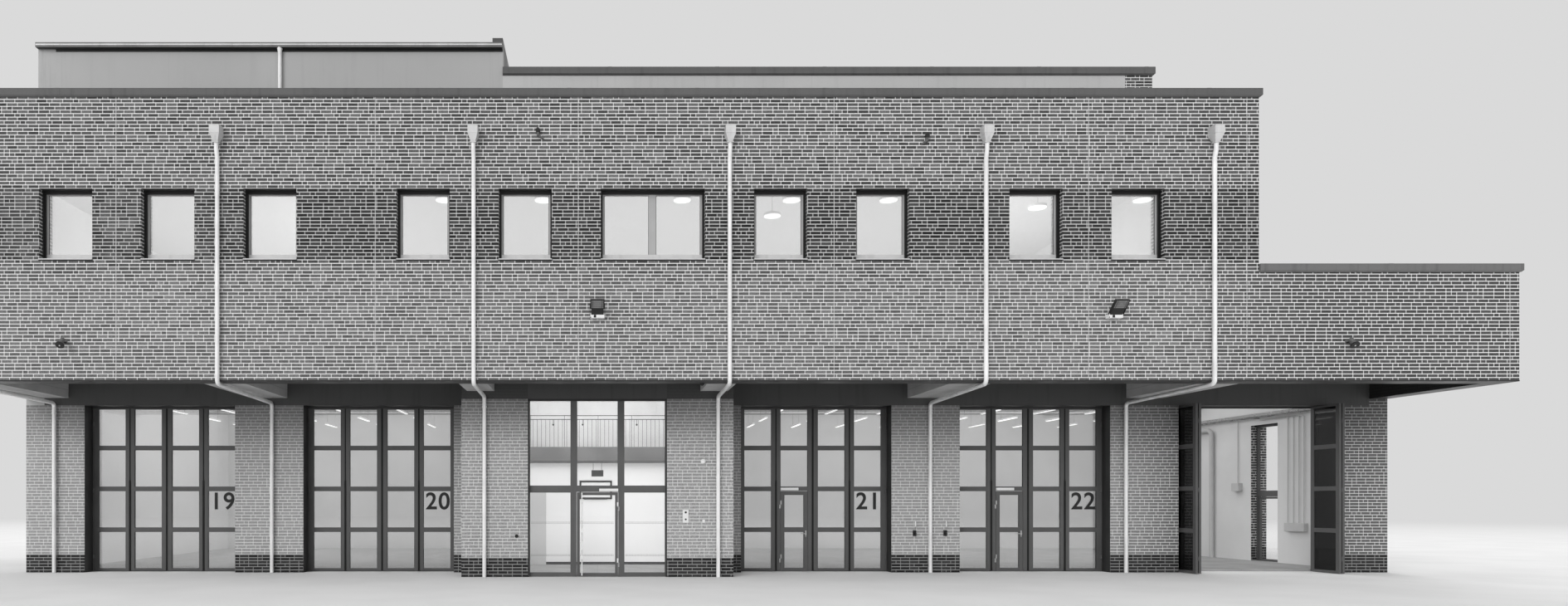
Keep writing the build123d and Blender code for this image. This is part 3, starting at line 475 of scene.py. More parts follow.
# In surface(): level, spread, scale of clouds, scale of grain, rough, metal, relief, streaks
BOARD = surface("wall_board", 214, 6, 2.0, 30.0, 0.7, relief=0.0008)
SHEET = surface("coping_metal", 94, 5, 0.4, 30.0, 0.42, 0.3, 0.0004, 0.35, paler_below=8.0)
DRIP = surface("drip_metal", 48, 4, 1.0, 30.0, 0.5, 0.2, 0.0004, 0.2)
SILL_METAL = surface("sill_metal", 205, 6, 3.0, 50.0, 0.4, 0.4, streaks=0.2)
FRAME_PAINT = surface("window_paint", 161, rough=0.4)
# Near-black finish that paints the shade in the window reveals
REVEAL_SHADE = surface("reveal_painted_shade", 22, 3, rough=0.7)
GATE_PAINT = surface("gate_paint", 78, 5, 1.4, rough=0.38, streaks=0.15)
DOOR_PAINT = surface("door_paint", 84, 5, 1.4, rough=0.38, streaks=0.15)
WHITE = surface("white_paint", 224, clouds=3.0, rough=0.45)
BLACK = surface("black_paint", 27, clouds=4.0, rough=0.5, relief=0.0004)
RUBBER = surface("rubber", 24, clouds=4.0, rough=0.85, relief=0.0004)
SEALANT = surface("sealant", 186, 5, 3.0, 50.0, 0.8, relief=0.0004)
STEEL = surface("brushed_steel", 188, 8, 4.0, 90.0, 0.3, 0.9, 0.0002)
BARREL = surface("camera_barrel", 92, 8, 8.0, rough=0.4, relief=0.001)
MARK = surface("glass_mark", 118, 6, 6.0, rough=0.8, relief=0.001)
LAMP_GLASS = surface("lamp_glass", 122, 6, 8.0, rough=0.25, relief=0.001)
DOOR_LEAF = surface("passage_door", 186, 5, 1.0, relief=0.001)

FINISHES = (
    (brickwork("wall_brick"),
     "front_wall rear_wall upper_walls gate_piers end_wall_piers end_wall stepped_end_wall "
     "roof_storey_end_wall"),
    (brickwork("entrance_brick", shaded_above=GATE_HEAD), "entrance_bay_walls"),
    (brickwork("dark_brick", OVER_ALL, (20, 68), paler_from=-7.0), "window_piers"),
    (surface("rendered_wall", 168, 6, 0.5, 50.0, 0.9, relief=0.002, streaks=0.3,
             inside_level=224), "party_wall"),
    (cladding("cladding", 176), "roof_storey_walls"),
    # Painted shade: a dark flat finish on the wall over the gates and the entrance lintels stands for
    # the deep shade under the canopy
    (surface("painted_shade_panel", 72, 4, 1.5, 45.0, 0.7, relief=0.001, streaks=0.3),
     "wall_over_gates entrance_bay_lintels"),
    (concrete("concrete", 176), "canopy_beams"),
    (concrete("dark_concrete", 80), "gallery_deck"),
    (concrete("hall_floor", 158, 3.0, 3.0), "ground_floor"),
    # Painted shade: the soffit's dark tone stands for the deep shade under the canopy deck
    (surface("soffit", 58, 5, 1.5, 45.0, 0.8, relief=0.001), "canopy_deck"),
    (surface("plaster", 208, 4, 0.8, 60.0, 0.9, relief=0.0006), "upper_floor"),
    (surface("white_plaster", 226, 3, 0.8, 60.0, 0.9, relief=0.0006),
     "hall_partitions entrance_back_wall"),
    (roofing("roofing", 112, 205), "roof_slabs roof_storey_roofs"),
    (SHEET, "wall_caps"),
    (surface("verge_metal", 84, 5, 0.6, 30.0, 0.45, 0.3, 0.0004, 0.3), "tall_verge"),
    (GUTTER, "roof_gutter"),
    (HOPPER, "rain_hoppers"),
    (PIPE, "downpipes pipe_brackets"),
    (FRAME_PAINT, "window_frames"),
    (SILL_METAL, "window_sills"),
    (GATE_PAINT,
     "gate_leaves gate_frames gate_hinges wicket_leaf_stiles wicket_leaf_rails wicket_3 wicket_4"),
    (DOOR_PAINT, "door_posts door_rails entrance_door side_door"),
    (glass("window_glass", 0.45, 240), "window_glass"),
    (glass("gate_glass", 0.20, 228, open_before=0.4), "gate_glass wicket_3_glass wicket_4_glass"),
    (glass("clear_glass", 0.07, 232), "fixed_glass entrance_door_glass side_door_glass"),
    (STEEL, "wicket_3_fittings wicket_4_fittings side_door_fittings door_hinges"),
    (surface("pull_bar", 232, 5, 4.0, 90.0, 0.3, 0.3, 0.0002), "entrance_door_fittings"),
    (WHITE, "door_closers"),
    (RUBBER, "finger_guards"),
    (BLACK, "gallery_rail wall_fittings"),
)
finish_of = {name: finish for finish, names in FINISHES for name in names.split()}
for name, node in nodes.items():
    node.data.materials.clear()
    node.data.materials.append(finish_of[name])


# Shapes

def about(middle, half):
    """Span with this middle."""
    return (middle - half, middle + half)


def inset(ends, by):
    """Span made shorter at both ends."""
    return (ends[0] + by, ends[1] - by)


def span(start, way, far, near=0.0):
    """Span between two distances from a place, in the way that 1 or -1 gives."""
    return sorted((start + way * near, start + way * far))


def proud(face, far, near=0.0):
    """Span in front of a face that looks to the street."""
    return (face - far, face - near)


def ends_of(opening):
    """Both ends of an opening, each with the way in from it."""
    return ((opening[0], 1), (opening[1], -1))


def new_object(name, data):
    """Object of the scene that shows this data."""
    thing = bpy.data.objects.new(name, data)
    bpy.context.scene.collection.objects.link(thing)
    return thing


class Shape:
    """Faces of one piece, gathered before they become an object."""

    made = []

    def __init__(self, *words, **options):
        self.bm = bmesh.new()
        self.words, self.options = words, options
        self.made.append(self)

    def block(self, xs, ys, zs):
        """Square block between three spans."""
        v = [self.bm.verts.new((x, y, z)) for x in xs for y in ys for z in zs]
        sides = ((0, 1, 3, 2), (4, 6, 7, 5), (0, 4, 5, 1), (2, 3, 7, 6), (0, 2, 6, 4), (1, 5, 7, 3))
        for side in sides:
            self.bm.faces.new([v[i] for i in side])
        return v

    def border(self, xs, ys, zs, width, turned=False):
        """Frame of four bars that faces the front, or the side if turned."""
        inner = inset(xs, width)
        for across, up in (((xs[0], inner[0]), zs), ((inner[1], xs[1]), zs),
                           (inner, (zs[0], zs[0] + width)), (inner, (zs[1] - width, zs[1]))):
            if turned:
                self.block(ys, across, up)
            else:
                self.block(across, ys, up)

    def rod(self, start, end, radius, end_radius=None, sides=24):
        """Round bar or cone between two points."""
        start, end = Vector(start), Vector(end)
        axis = end - start
        turn = axis.to_track_quat("Z", "Y").to_matrix().to_4x4()
        place = Matrix.Translation((start + end) / 2) @ turn
        far = radius if end_radius is None else end_radius
        bmesh.ops.create_cone(self.bm, cap_ends=True, segments=sides, radius1=radius,
                              radius2=far, depth=axis.length, matrix=place)

    def post(self, x, y, zs, *radii, **options):
        """Upright round bar or cone."""
        self.rod((x, y, zs[0]), (x, y, zs[1]), *radii, **options)

    def peg(self, x, ys, z, *radii, **options):
        """Round bar or cone that points into a wall."""
        self.rod((x, ys[0], z), (x, ys[1], z), *radii, **options)

    def tube(self, points, radius, bend, sides=24):
        """Round pipe along points that share one x, with its corners rounded."""
        route = rounded(points, bend)
        across = Vector((1, 0, 0))
        angles = [2 * math.pi * k / sides for k in range(sides)]
        rings = []
        for i, point in enumerate(route):
            tangent = route[min(i + 1, len(route) - 1)] - route[max(i - 1, 0)]
            up = tangent.normalized().cross(across)
            rings.append([
                self.bm.verts.new(point + radius * (math.cos(a) * across + math.sin(a) * up))
                for a in angles
            ])
        for near, far in zip(rings, rings[1:]):
            for k in range(sides):
                after = (k + 1) % sides
                self.bm.faces.new((near[k], near[after], far[after], far[k]))
        self.bm.faces.new(rings[0][::-1])
        self.bm.faces.new(rings[-1])

    def finish(self, name, material, slot, bevel=0.0, body="building", stands_for=()):
        """Object of the gathered faces, riding on its body."""
        bmesh.ops.recalc_face_normals(self.bm, faces=self.bm.faces)
        for face in self.bm.faces:
            face.smooth = True
        mesh = bpy.data.meshes.new(name)
        self.bm.to_mesh(mesh)
        self.bm.free()
        mesh.set_sharp_from_angle(angle=math.radians(35))
        mesh.materials.append(material)
        piece = new_object(name, mesh)
        if bevel:
            edge = piece.modifiers.new("edges", "BEVEL")
            edge.width = bevel
            edge.segments = 2
            edge.limit_method = "ANGLE"
        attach(piece, body)
        for node in stands_for:
            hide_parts(node)


def finish_shapes():
    """Objects of the shapes made since the last call, in their order."""
    for shape in Shape.made:
        shape.finish(*shape.words, **shape.options)
    Shape.made.clear()


def rounded(points, bend, steps=7):
    """Points of a route whose corners are turned on a radius."""
    corners = [Vector(point) for point in points]
    route = [corners[0]]
    for before, corner, after in zip(corners, corners[1:], corners[2:]):
        back, on = before - corner, after - corner
        half = back.angle(on) / 2
        reach = min(bend / math.tan(half), back.length * 0.48, on.length * 0.48)
        back, on = back.normalized() * reach, on.normalized() * reach
        to_centre = (back + on) / (2 * math.cos(half) ** 2)
        centre = corner + to_centre
        first, last = back - to_centre, on - to_centre
        for k in range(steps + 1):
            route.append(centre + first.slerp(last, k / steps) * first.length)
    route.append(corners[-1])
    return route


# Front and roofs: joints in the brick, drip edge, cover strips, gutter straps, a gutter bead whose
# pale tone is a painted highlight, and flashings with a painted shadow under the gutter

FRONT_JOINTS = (-11.31, -5.22, -0.45, 5.56, 11.54, 15.26, 21.44)
REAR_JOINTS = (-11.31, -5.22, 0.6, 6.6, 12.6)
JOINT_HALF, JOINT_FOOT = 0.007, 4.85


def wall_top(x):
    """Top of the outer wall, which is lower beyond the step."""
    return WALL_TOP if x < STEP else LOW_TOP


joints = Shape("expansion_joints", SEALANT, "plaster")
for x in FRONT_JOINTS:
    joints.block(about(x, JOINT_HALF), proud(FRONT, 0.002, -0.01), (JOINT_FOOT, wall_top(x)))
for x in REAR_JOINTS:
    joints.block(about(x, JOINT_HALF), span(REAR, -1, 0.01, -0.002), (0.0, WALL_TOP))

drip = Shape("canopy_drip_edge", DRIP, "dark_metal", 0.003)
upright, lip, nose = (SOFFIT, SOFFIT + 0.03), about(SOFFIT, 0.004), 0.012
drip.block((LEFT, RIGHT), (FRONT - nose, FRONT + 0.02), upright)
drip.block((LEFT, RIGHT), (FRONT - nose, FRONT_IN), lip)
drip.block((RIGHT - 0.02, RIGHT + nose), (FRONT, 0.0), upright)
drip.block((END_FACE, RIGHT + nose), (FRONT_IN, 0.0), lip)

SHEET_LENGTH = 3.0
SHEET_ENDS = [LEFT + SHEET_LENGTH * k for k in range(1, 11)] + [18.6]
STRIP_HALF, STRIP_PROUD, STRIP_REACH = 0.055, 0.063, 0.0595
WALL_CAPS = ((FRONT - STRIP_PROUD, FRONT_IN + 0.002), (REAR_IN - 0.002, REAR + STRIP_REACH))
STOREY_CAPS = (span(STOREY_FRONT, 1, 0.302, -STRIP_PROUD), span(STOREY_REAR, -1, 0.302, -STRIP_PROUD))

strips = Shape("coping_cover_strips", SHEET, "sheet_metal", 0.002)


def cap_height(top, height=CAP_H):
    """Levels between which a strip covers a joint in the cap."""
    return (top + 0.036, top + height + 0.003)


for x in SHEET_ENDS:
    for ys in WALL_CAPS:
        strips.block(about(x, STRIP_HALF), ys, cap_height(wall_top(x)))
for y in (0.0, 4.5, 9.0):
    strips.block((END_FACE - 0.002, RIGHT + STRIP_REACH), about(y, STRIP_HALF), cap_height(LOW_TOP))
for k in range(1, 7):
    for ys in STOREY_CAPS:
        strips.block(about(TALL_X + SHEET_LENGTH * k, STRIP_HALF), ys,
                     cap_height(STOREY_TOP, STOREY_CAP_H))

straps = Shape("gutter_straps", GUTTER, "zinc", 0.001)
for place in range(13):
    xs = about(LEFT + 0.5 + place, 0.015)
    straps.block(xs, proud(STOREY_FRONT, GUTTER_W), (GUTTER_FOOT + 0.122, GUTTER_FOOT + 0.128))
    straps.block(xs, about(STOREY_FRONT - GUTTER_W, 0.003), (GUTTER_FOOT, GUTTER_FOOT + 0.128))

bead_y, bead_z = STOREY_FRONT - 0.152, GUTTER_FOOT + 0.065
# Painted highlight: a thin bright zinc rod along the top of the gutter
bead_highlight = Shape("gutter_bead", PIPE, "zinc")
bead_highlight.rod((LEFT + 0.02, bead_y, bead_z), (TALL_X - 0.01, bead_y, bead_z), 0.02)

flashing_and_shadow = Shape("storey_flashings", DRIP, "dark_metal", 0.002)
# Painted shadow: a near-black strip under the gutter of the tall block
flashing_and_shadow.block((LEFT + 0.5, TALL_X), proud(STOREY_FRONT, 0.012), (GUTTER_FOOT - 0.07, GUTTER_FOOT))
flashing_and_shadow.block((LEFT + 0.02, TALL_X - 0.02), proud(STOREY_FRONT, 0.146, 0.02),
               (GUTTER_FOOT - 0.008, GUTTER_FOOT))
for xs in ((LEFT + 0.5, TALL_X), (TALL_X, STOREY_BRICK)):
    flashing_and_shadow.block(xs, proud(STOREY_FRONT, 0.010), (ROOF, ROOF + 0.18))

# Windows, front and rear: sashes, gaskets, black strips of painted shade at heads and jambs and of
# painted shadow under sills, near-black reveal linings of painted shade, foot rails

WINDOW_FRAME = 0.065
MULLION_HALF = 0.0665
SASH = 0.022
SHADE_HEAD, SHADE_SIDE = 0.07, 0.045
SHADE_SHEET = 0.006


def sash_spans(xs):
    """Spans of a window's sashes; a wide window has two, which lap over its mullion."""
    left, right = inset(xs, WINDOW_FRAME)
    if right - left < WINDOW_W:
        return [(left, right)]
    middle = sum(xs) / 2
    return [(left, middle - MULLION_HALF), (middle + MULLION_HALF, right)]


shade_strips = Shape("window_screen_guides", BLACK, "dark_metal", 0.001)
reveal_shade = Shape("window_reveal_linings", REVEAL_SHADE, "dark_metal")
feet = Shape("window_foot_rails", SILL_METAL, "window_paint", 0.002)
sashes = Shape("window_sashes", FRAME_PAINT, "window_paint", 0.003)
gaskets = Shape("window_gaskets", RUBBER, "rubber")
for slot in WINDOW_SLOTS:
    left = WINDOW_START + WINDOW_PITCH * slot
    opening = (left, left + (DOUBLE_W if slot == 0 else WINDOW_W))
    zs = (SILL_TOP, WINDOW_HEAD)
    sash_zs = inset(zs, WINDOW_FRAME)
    for face in ((FRONT, 1), (REAR, -1)):
        for xs in sash_spans(opening):
            sashes.border(xs, span(*face, 0.268, 0.252), sash_zs, SASH)
            gaskets.border(inset(xs, SASH), span(*face, 0.268, 0.258), inset(sash_zs, SASH), 0.007)
        shade_depths = span(*face, 0.238, 0.2)
        # Painted shade: black strips at the head and the jambs, where the reveal's shade falls on the
        # frame
        shade_strips.block(opening, shade_depths, (WINDOW_HEAD - SHADE_HEAD, WINDOW_HEAD))
        for edge, way in ends_of(opening):
            shade_strips.block(span(edge, way, SHADE_SIDE), shade_depths, (SILL_TOP, WINDOW_HEAD - SHADE_HEAD))
            # Painted shade: a near-black sheet on the inner part of each jamb
            reveal_shade.block(span(edge, way, SHADE_SHEET), span(*face, 0.199, 0.14), zs)
        # Painted shadow: a black strip under the sill
        shade_strips.block(inset(opening, -0.015), span(*face, 0.01, -0.004), (SILL - 0.026, SILL - 0.001))
        # Painted shade: a near-black sheet on the head of the reveal
        reveal_shade.block(inset(opening, SHADE_SHEET), span(*face, 0.199, 0.003),
                      (WINDOW_HEAD - SHADE_SHEET, WINDOW_HEAD))
        feet.block(inset(opening, SHADE_SIDE), span(*face, 0.262, 0.232),
                   (SILL_TOP + 0.055, SILL_TOP + 0.155))

# Gates: beads and seals round each pane, brushes, linings, wickets' trim, numbers

BEAD = (0.004, 0.018)
SEAL = (0.010, 0.018)
BEAD_W, SEAL_W = 0.006, 0.004
BRUSH = (GATE_FACE + 0.012, GATE_FACE + 0.048)


def leaf_starts(centre):
    """Left edges of the four closed leaves of a gate."""
    first = centre - GATE_HALF + JAMB
    third = first + 2 * LEAF_W + FOLD_GAP + MEET_GAP
    return (first, first + LEAF_W + FOLD_GAP, third, third + LEAF_W + FOLD_GAP)


def both_faces(start, way, depths):
    """Spans that lie alike behind both faces of a leaf."""
    near, far = depths
    return (span(start, way, far, near), span(start, way, LEAF_T - near, LEAF_T - far))


beads = Shape("gate_glazing_beads", GATE_PAINT, "gate_paint", 0.002)
seals = Shape("gate_seals", RUBBER, "rubber")
brushes = Shape("gate_brushes", RUBBER, "rubber")
linings = Shape("gate_linings", DRIP, "gate_paint")
for number, centre in enumerate(GATE_CENTRES):
    opening = about(centre, GATE_HALF)
    for edge, way in ends_of(opening):
        linings.block(span(edge, way, 0.004), (0.012, GATE_FACE), (0.0, GATE_HEAD))
    linings.block(opening, (0.012, GATE_FACE), (GATE_HEAD - 0.004, GATE_HEAD))
    linings.block(opening, proud(GATE_FACE, 0.03, 0.002), (GATE_HEAD - 0.05, GATE_HEAD))
    if number == OPEN_GATE:
        continue
    for place, start in enumerate(leaf_starts(centre)):
        has_wicket = number in WICKET_GATES and place == 1
        xs = (start + STILE, start + STILE + PANE_W)
        for z in PANE_LEVELS[2:] if has_wicket else PANE_LEVELS:
            zs = about(z, PANE_H / 2)
            for ys in both_faces(GATE_FACE, 1, BEAD):
                beads.border(xs, ys, zs, BEAD_W)
            for ys in both_faces(GATE_FACE, 1, SEAL):
                seals.border(inset(xs, BEAD_W), ys, inset(zs, BEAD_W), SEAL_W)
        if not has_wicket:
            leaf = (start, start + LEAF_W)
            brushes.block(inset(leaf, 0.004), BRUSH, (0.002, LEAF_FOOT))
            beads.block(inset(leaf, 0.02), proud(GATE_FACE, 0.006), (0.03, 0.05))
    seals.block(about(centre, 0.017), (GATE_FACE + 0.015, GATE_FACE + 0.045),
                (LEAF_FOOT, GATE_HEAD - 0.012))
    seal_face = proud(GATE_FACE, 0.003, 0.001)
    seals.block(about(centre, 0.026), seal_face, (LEAF_FOOT, GATE_HEAD - 0.045))
    for fold in about(centre, LEAF_W + 0.025):
        seals.block(about(fold, 0.017), seal_face, (2.2, GATE_HEAD - 0.045))
for edge, way in ends_of(about(GATE_CENTRES[OPEN_GATE], GATE_HALF)):
    for off in STACK_OFFS:
        ys = (FOLDED_END + STILE, FOLDED_END + STILE + PANE_W)
        for z in PANE_LEVELS:
            for xs in both_faces(edge + way * off, way, BEAD):
                beads.border(ys, xs, about(z, PANE_H / 2), BEAD_W, turned=True)

for number in WICKET_GATES:
    start = leaf_starts(GATE_CENTRES[number])[1] + STILE
    leaf = inset((start, start + PANE_W), WICKET_GAP)
    body = f"wicket_door_{number + 1}"
    wicket_beads = Shape(f"wicket_{number + 1}_beads", GATE_PAINT, "gate_paint", 0.002, body)
    for zs in ((0.081, 1.105), (1.213, 2.139)):
        for ys in both_faces(GATE_FACE, 1, BEAD):
            wicket_beads.border(inset(leaf, WICKET_STILE), ys, zs, 0.014)
    wicket_beads.block(inset(leaf, 0.01), BRUSH, (0.004, LEAF_FOOT))
    lock = Shape(f"wicket_{number + 1}_lock", BLACK, "dark_metal", body=body)
    lock.peg(leaf[1] - WICKET_STILE / 2, proud(GATE_FACE, 0.012, 0.008), 0.985, 0.011)
finish_shapes()


def gate_number(text, centre):
    """Plain number on the second pane from the foot of a gate's last leaf."""
    name = f"gate_number_{text}"
    curve = bpy.data.curves.new(name, "FONT")
    curve.body = text
    curve.size = 0.66
    curve.extrude = 0.0007
    curve.offset = 0.011
    curve.space_character = 1.08
    curve.align_x = "RIGHT"
    label = new_object(name, curve)
    pane_right = leaf_starts(centre)[3] + STILE + PANE_W
    label.location = (pane_right - 0.02, GATE_FACE + 0.0172, 1.735)
    label.rotation_euler = (math.pi / 2, 0, 0)
    bpy.context.view_layer.update()
    shown = label.evaluated_get(bpy.context.evaluated_depsgraph_get())
    flat = bpy.data.meshes.new_from_object(shown)
    flat.transform(label.matrix_world)
    bpy.data.objects.remove(label)
    flat.materials.clear()
    flat.materials.append(BLACK)
    piece = new_object(name, flat)
    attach(piece, "building")


for text, centre in zip(("19", "20", "21", "22"), GATE_CENTRES):
    gate_number(text, centre)

# Entrance: linings, beads, rows of marks on the glass

surround = Shape("entrance_linings", DRIP, "door_paint", 0.002)
for edge, way in ends_of((-GLAZING_HALF, GLAZING_HALF)):
    surround.block(span(edge, way, 0.03), (ENTRANCE_Y + 0.004, GLAZING), (0.0, GATE_HEAD))
surround.block((-GLAZING_HALF, GLAZING_HALF), (ENTRANCE_Y + 0.004, GLAZING),
               (GATE_HEAD - 0.05, GATE_HEAD))

MARK_SIZE, MARK_PITCH = 0.014, 0.03
MARK_LEVELS = (1.37, 1.40, 0.53, 0.56)


def mark_rows(shape, first, count, face):
    """Double rows of small squares on a pane, at two heights."""
    for k in range(count):
        x = first + MARK_PITCH * k
        for z in MARK_LEVELS:
            shape.block((x, x + MARK_SIZE), proud(face, 0.0018), (z, z + MARK_SIZE))


column_beads = Shape("entrance_beads", DOOR_PAINT, "door_paint", 0.002)
fixed_marks = Shape("entrance_glass_marks", MARK, "door_paint")
for place, xs in enumerate(COLUMNS):
    for zs in ((2.335, 4.55), (0.09, 2.187)) if place != 1 else ((2.335, 4.55),):
        column_beads.border(xs, (GLAZING + 0.006, GLAZING + 0.028), zs, 0.018)
    if place != 1:
        mark_rows(fixed_marks, xs[0] + 0.045, 34, GLAZING + 0.028)
door_marks = Shape("entrance_door_marks", MARK, "door_paint", body="entrance_door_leaf")
mark_rows(door_marks, -0.44, 29, GLAZING + 0.018)
door_beads = Shape("entrance_door_beads", DOOR_PAINT, "door_paint", 0.002, "entrance_door_leaf")
door_beads.border((-0.47, 0.47), (GLAZING + 0.006, GLAZING + 0.018), (0.077, 2.117), 0.014)

# Rainwater: round pipes, sleeves, clamps and hopper rims

pipes = Shape("round_downpipes", PIPE, "zinc", stands_for=["downpipes"])
sleeves = Shape("pipe_sleeves", PIPE, "zinc", 0.0015)
clamps = Shape("pipe_clamps", PIPE, "zinc")
rims = Shape("hopper_rims", HOPPER, "zinc", 0.0015)


def clamp(x, y, level, half):
    """Pipe clamp with the ears of its two screws."""
    middle = level + 0.02
    clamps.post(x, y, about(middle, half), PIPE_R + 0.003)
    for ear in about(x, half + 0.04):
        clamps.peg(ear, about(y, half + 0.002), middle, half - 0.005, sides=8)


def rim(x):
    """Folded rim, drip line and outlet of a rain hopper."""
    rims.border(about(x, 0.119), proud(FRONT, 0.274, 0.268), (HOPPER_TOP - 0.027, HOPPER_TOP), 0.012)
    for side in (-1, 1):
        rims.block(span(x, side, 0.119, 0.113), proud(FRONT, 0.274), (HOPPER_TOP - 0.02, HOPPER_TOP))
    rims.peg(x, proud(FRONT, 0.03), HOPPER_TOP - 0.092, 0.028)
    rims.block(about(x, 0.117), proud(FRONT, 0.272, 0.002), about(HOPPER_TOP - 0.193, 0.005))


for x in PIPE_PLACES:
    low_y = (ENTRANCE_Y if abs(x) < ENTRANCE_HALF else 0.0) - PIPE_OFF
    pipes.tube([(x, HOPPER_Y, HOPPER_FOOT), (x, HOPPER_Y, 10.16), (x, PIPE_Y, 9.98), (x, PIPE_Y, 4.69),
                (x, low_y, 4.63), (x, low_y, 0.0)], PIPE_R, 0.11)
    sleeves.post(x, HOPPER_Y, (HOPPER_FOOT - 0.03, HOPPER_FOOT), PIPE_R + 0.004)
    for z in (9.90, 7.95, 5.95):
        sleeves.post(x, PIPE_Y, (z, z + 0.03), PIPE_R + 0.004)
    for z in (4.42, 4.34, 2.30, 0.98):
        sleeves.post(x, low_y, (z, z + 0.028), PIPE_R + 0.005)
    for level in (9.2, 7.7, 6.2, 5.1):
        clamp(x, PIPE_Y, level, 0.012)
    for level in (4.35, 2.54, 0.63):
        clamp(x, low_y, level, 0.014)
    rim(x)
roof_pipe = (ROOF_PIPE_X, STOREY_FRONT - GUTTER_W / 2)
funnel_foot = GUTTER_FOOT - 0.15
pipes.post(*roof_pipe, (ROOF, funnel_foot), PIPE_R)
pipes.post(*roof_pipe, (funnel_foot, GUTTER_FOOT), PIPE_R, 0.075)
for z in (11.4, 12.6, 13.8):
    clamps.post(*roof_pipe, (z, z + 0.03), PIPE_R + 0.004)
sleeves.post(*roof_pipe, (funnel_foot - 0.03, funnel_foot), PIPE_R + 0.006)

# Wall fittings: floodlights, cameras, and small ones round the entrance and the gates

lamps = Shape("floodlight_bodies", BLACK, "dark_metal", 0.003, stands_for=["wall_fittings"])
boxes = Shape("floodlight_boxes", WHITE, "white_paint", 0.008)
panes = Shape("floodlight_glass", LAMP_GLASS, "glass")


def floodlight(x, tilt=47):
    """Floodlight on a wall box: a finned body, its frame and its yoke."""
    foot, y = 6.3, FRONT - 0.135
    turn = Matrix.Rotation(math.radians(tilt), 3, "X")

    def part(shape, xs, depth, rise, size):
        ys, zs = (y + depth, y + depth + size[0]), (foot + rise, foot + rise + size[1])
        bmesh.ops.rotate(shape.bm, verts=shape.block(xs, ys, zs), cent=(x, y, foot), matrix=turn)

    boxes.block(about(x, 0.165), proud(FRONT, 0.16), (6.215, 6.315))
    lamps.block((x - 0.085, x - 0.03), proud(FRONT, 0.166, 0.16), (6.222, 6.285))
    lamps.block((x - 0.165, x - 0.15), proud(FRONT, 0.164, 0.16), (6.215, 6.25))
    lamps.block(about(x, 0.07), proud(FRONT, 0.15, 0.06), (foot, foot + 0.07))
    part(lamps, about(x, 0.145), -0.026, 0.0, (0.056, 0.2))
    part(lamps, about(x, 0.165), -0.03, 0.18, (0.06, 0.23))
    part(panes, about(x, 0.135), -0.033, 0.2, (0.004, 0.2))
    for k in range(9):
        part(lamps, about(x - 0.14 + 0.035 * k, 0.004), 0.028, 0.02, (0.025, 0.36))
    for k in range(4):
        part(lamps, about(x, 0.135), -0.036, 0.235 + 0.04 * k, (0.004, 0.005))
    for side in (-1, 1):
        part(lamps, about(x + side * 0.108, 0.005), -0.037, 0.2, (0.005, 0.2))
        part(lamps, about(x + side * 0.172, 0.006), -0.02, 0.0, (0.04, 0.3))


for x in (0.0, 12.1):
    floodlight(x)

cameras = Shape("camera_bodies", BLACK, "dark_metal", 0.004)
barrels = Shape("camera_barrels", BARREL, "dark_metal", 0.003)
lens_glints = Shape("camera_lenses", WHITE, "steel")


def camera_on_wall(x, slope=52):
    """Camera on a short arm, with a barrel that points down and a flared hood."""
    start = Vector((x, FRONT - 0.12, 5.73))
    aim = Vector((0, -math.cos(math.radians(slope)), -math.sin(math.radians(slope))))

    def part(shape, near, far, *radii):
        shape.rod(start + aim * near, start + aim * far, *radii)

    barrels.block(about(x, 0.04), proud(FRONT, 0.015), (5.62, 5.72))
    cameras.block(about(x, 0.018), proud(FRONT, 0.12), (5.64, 5.68))
    part(barrels, 0.0, 0.165, 0.052)
    part(cameras, 0.16, 0.19, 0.062, 0.098)
    part(cameras, 0.19, 0.225, 0.098)
    part(barrels, 0.04, 0.05, 0.058)
    part(barrels, 0.11, 0.12, 0.058)
    # Painted glint: a small white disc at the centre of the lens
    part(lens_glints, 0.225, 0.228, 0.016)


for x in (-12.49, 17.60):
    camera_on_wall(x)

CALL_X, LAMP_X, KEY_X = 2.27, 2.72, -2.08

spouts = Shape("overflow_spouts", SHEET, "sheet_metal")
pale = Shape("small_pale_fittings", WHITE, "white_paint", 0.003)
dark = Shape("small_dark_fittings", BLACK, "dark_metal", 0.002)
pale.block(about(CALL_X, 0.075), proud(ENTRANCE_Y, 0.03), (1.395, 1.725))
pale.peg(LAMP_X, proud(ENTRANCE_Y, 0.035), 2.97, 0.065)
pale.peg(LAMP_X, proud(ENTRANCE_Y, 0.06, 0.035), 2.97, 0.04, 0.062)
pale.block((2.70, 2.765), proud(ENTRANCE_Y, 0.015), (1.395, 1.475))
dark.peg(CALL_X, proud(ENTRANCE_Y, 0.036, 0.03), 1.66, 0.028)
dark.peg(CALL_X, proud(ENTRANCE_Y, 0.036, 0.03), 1.48, 0.024)
dark.peg(KEY_X, proud(ENTRANCE_Y, 0.03), 1.05, 0.045)
dark.peg(KEY_X, proud(ENTRANCE_Y, 0.045, 0.03), 1.05, 0.018)
dark.post(2.5, -3.3, (SOFFIT - 0.004, SOFFIT - 0.03), 0.06)
dark.post(2.5, -3.3, (SOFFIT - 0.03, SOFFIT - 0.065), 0.055, 0.02)
for x in (8.69, 9.53):
    dark.block(about(x, 0.045), proud(0.0, 0.03), (1.0, 1.16))
    dark.peg(x, proud(0.0, 0.12, 0.03), 1.07, 0.02)
    dark.post(x, -0.1, (1.07, 1.0), 0.014)
    dark.rod((x - 0.03, -0.08, 1.125), (x + 0.03, -0.08, 1.125), 0.009)
    pale.tube([(x, 0.0, 1.42), (x, -0.1, 1.42), (x, -0.11, 1.26), (x, -0.04, 1.24)], 0.014, 0.04, 12)
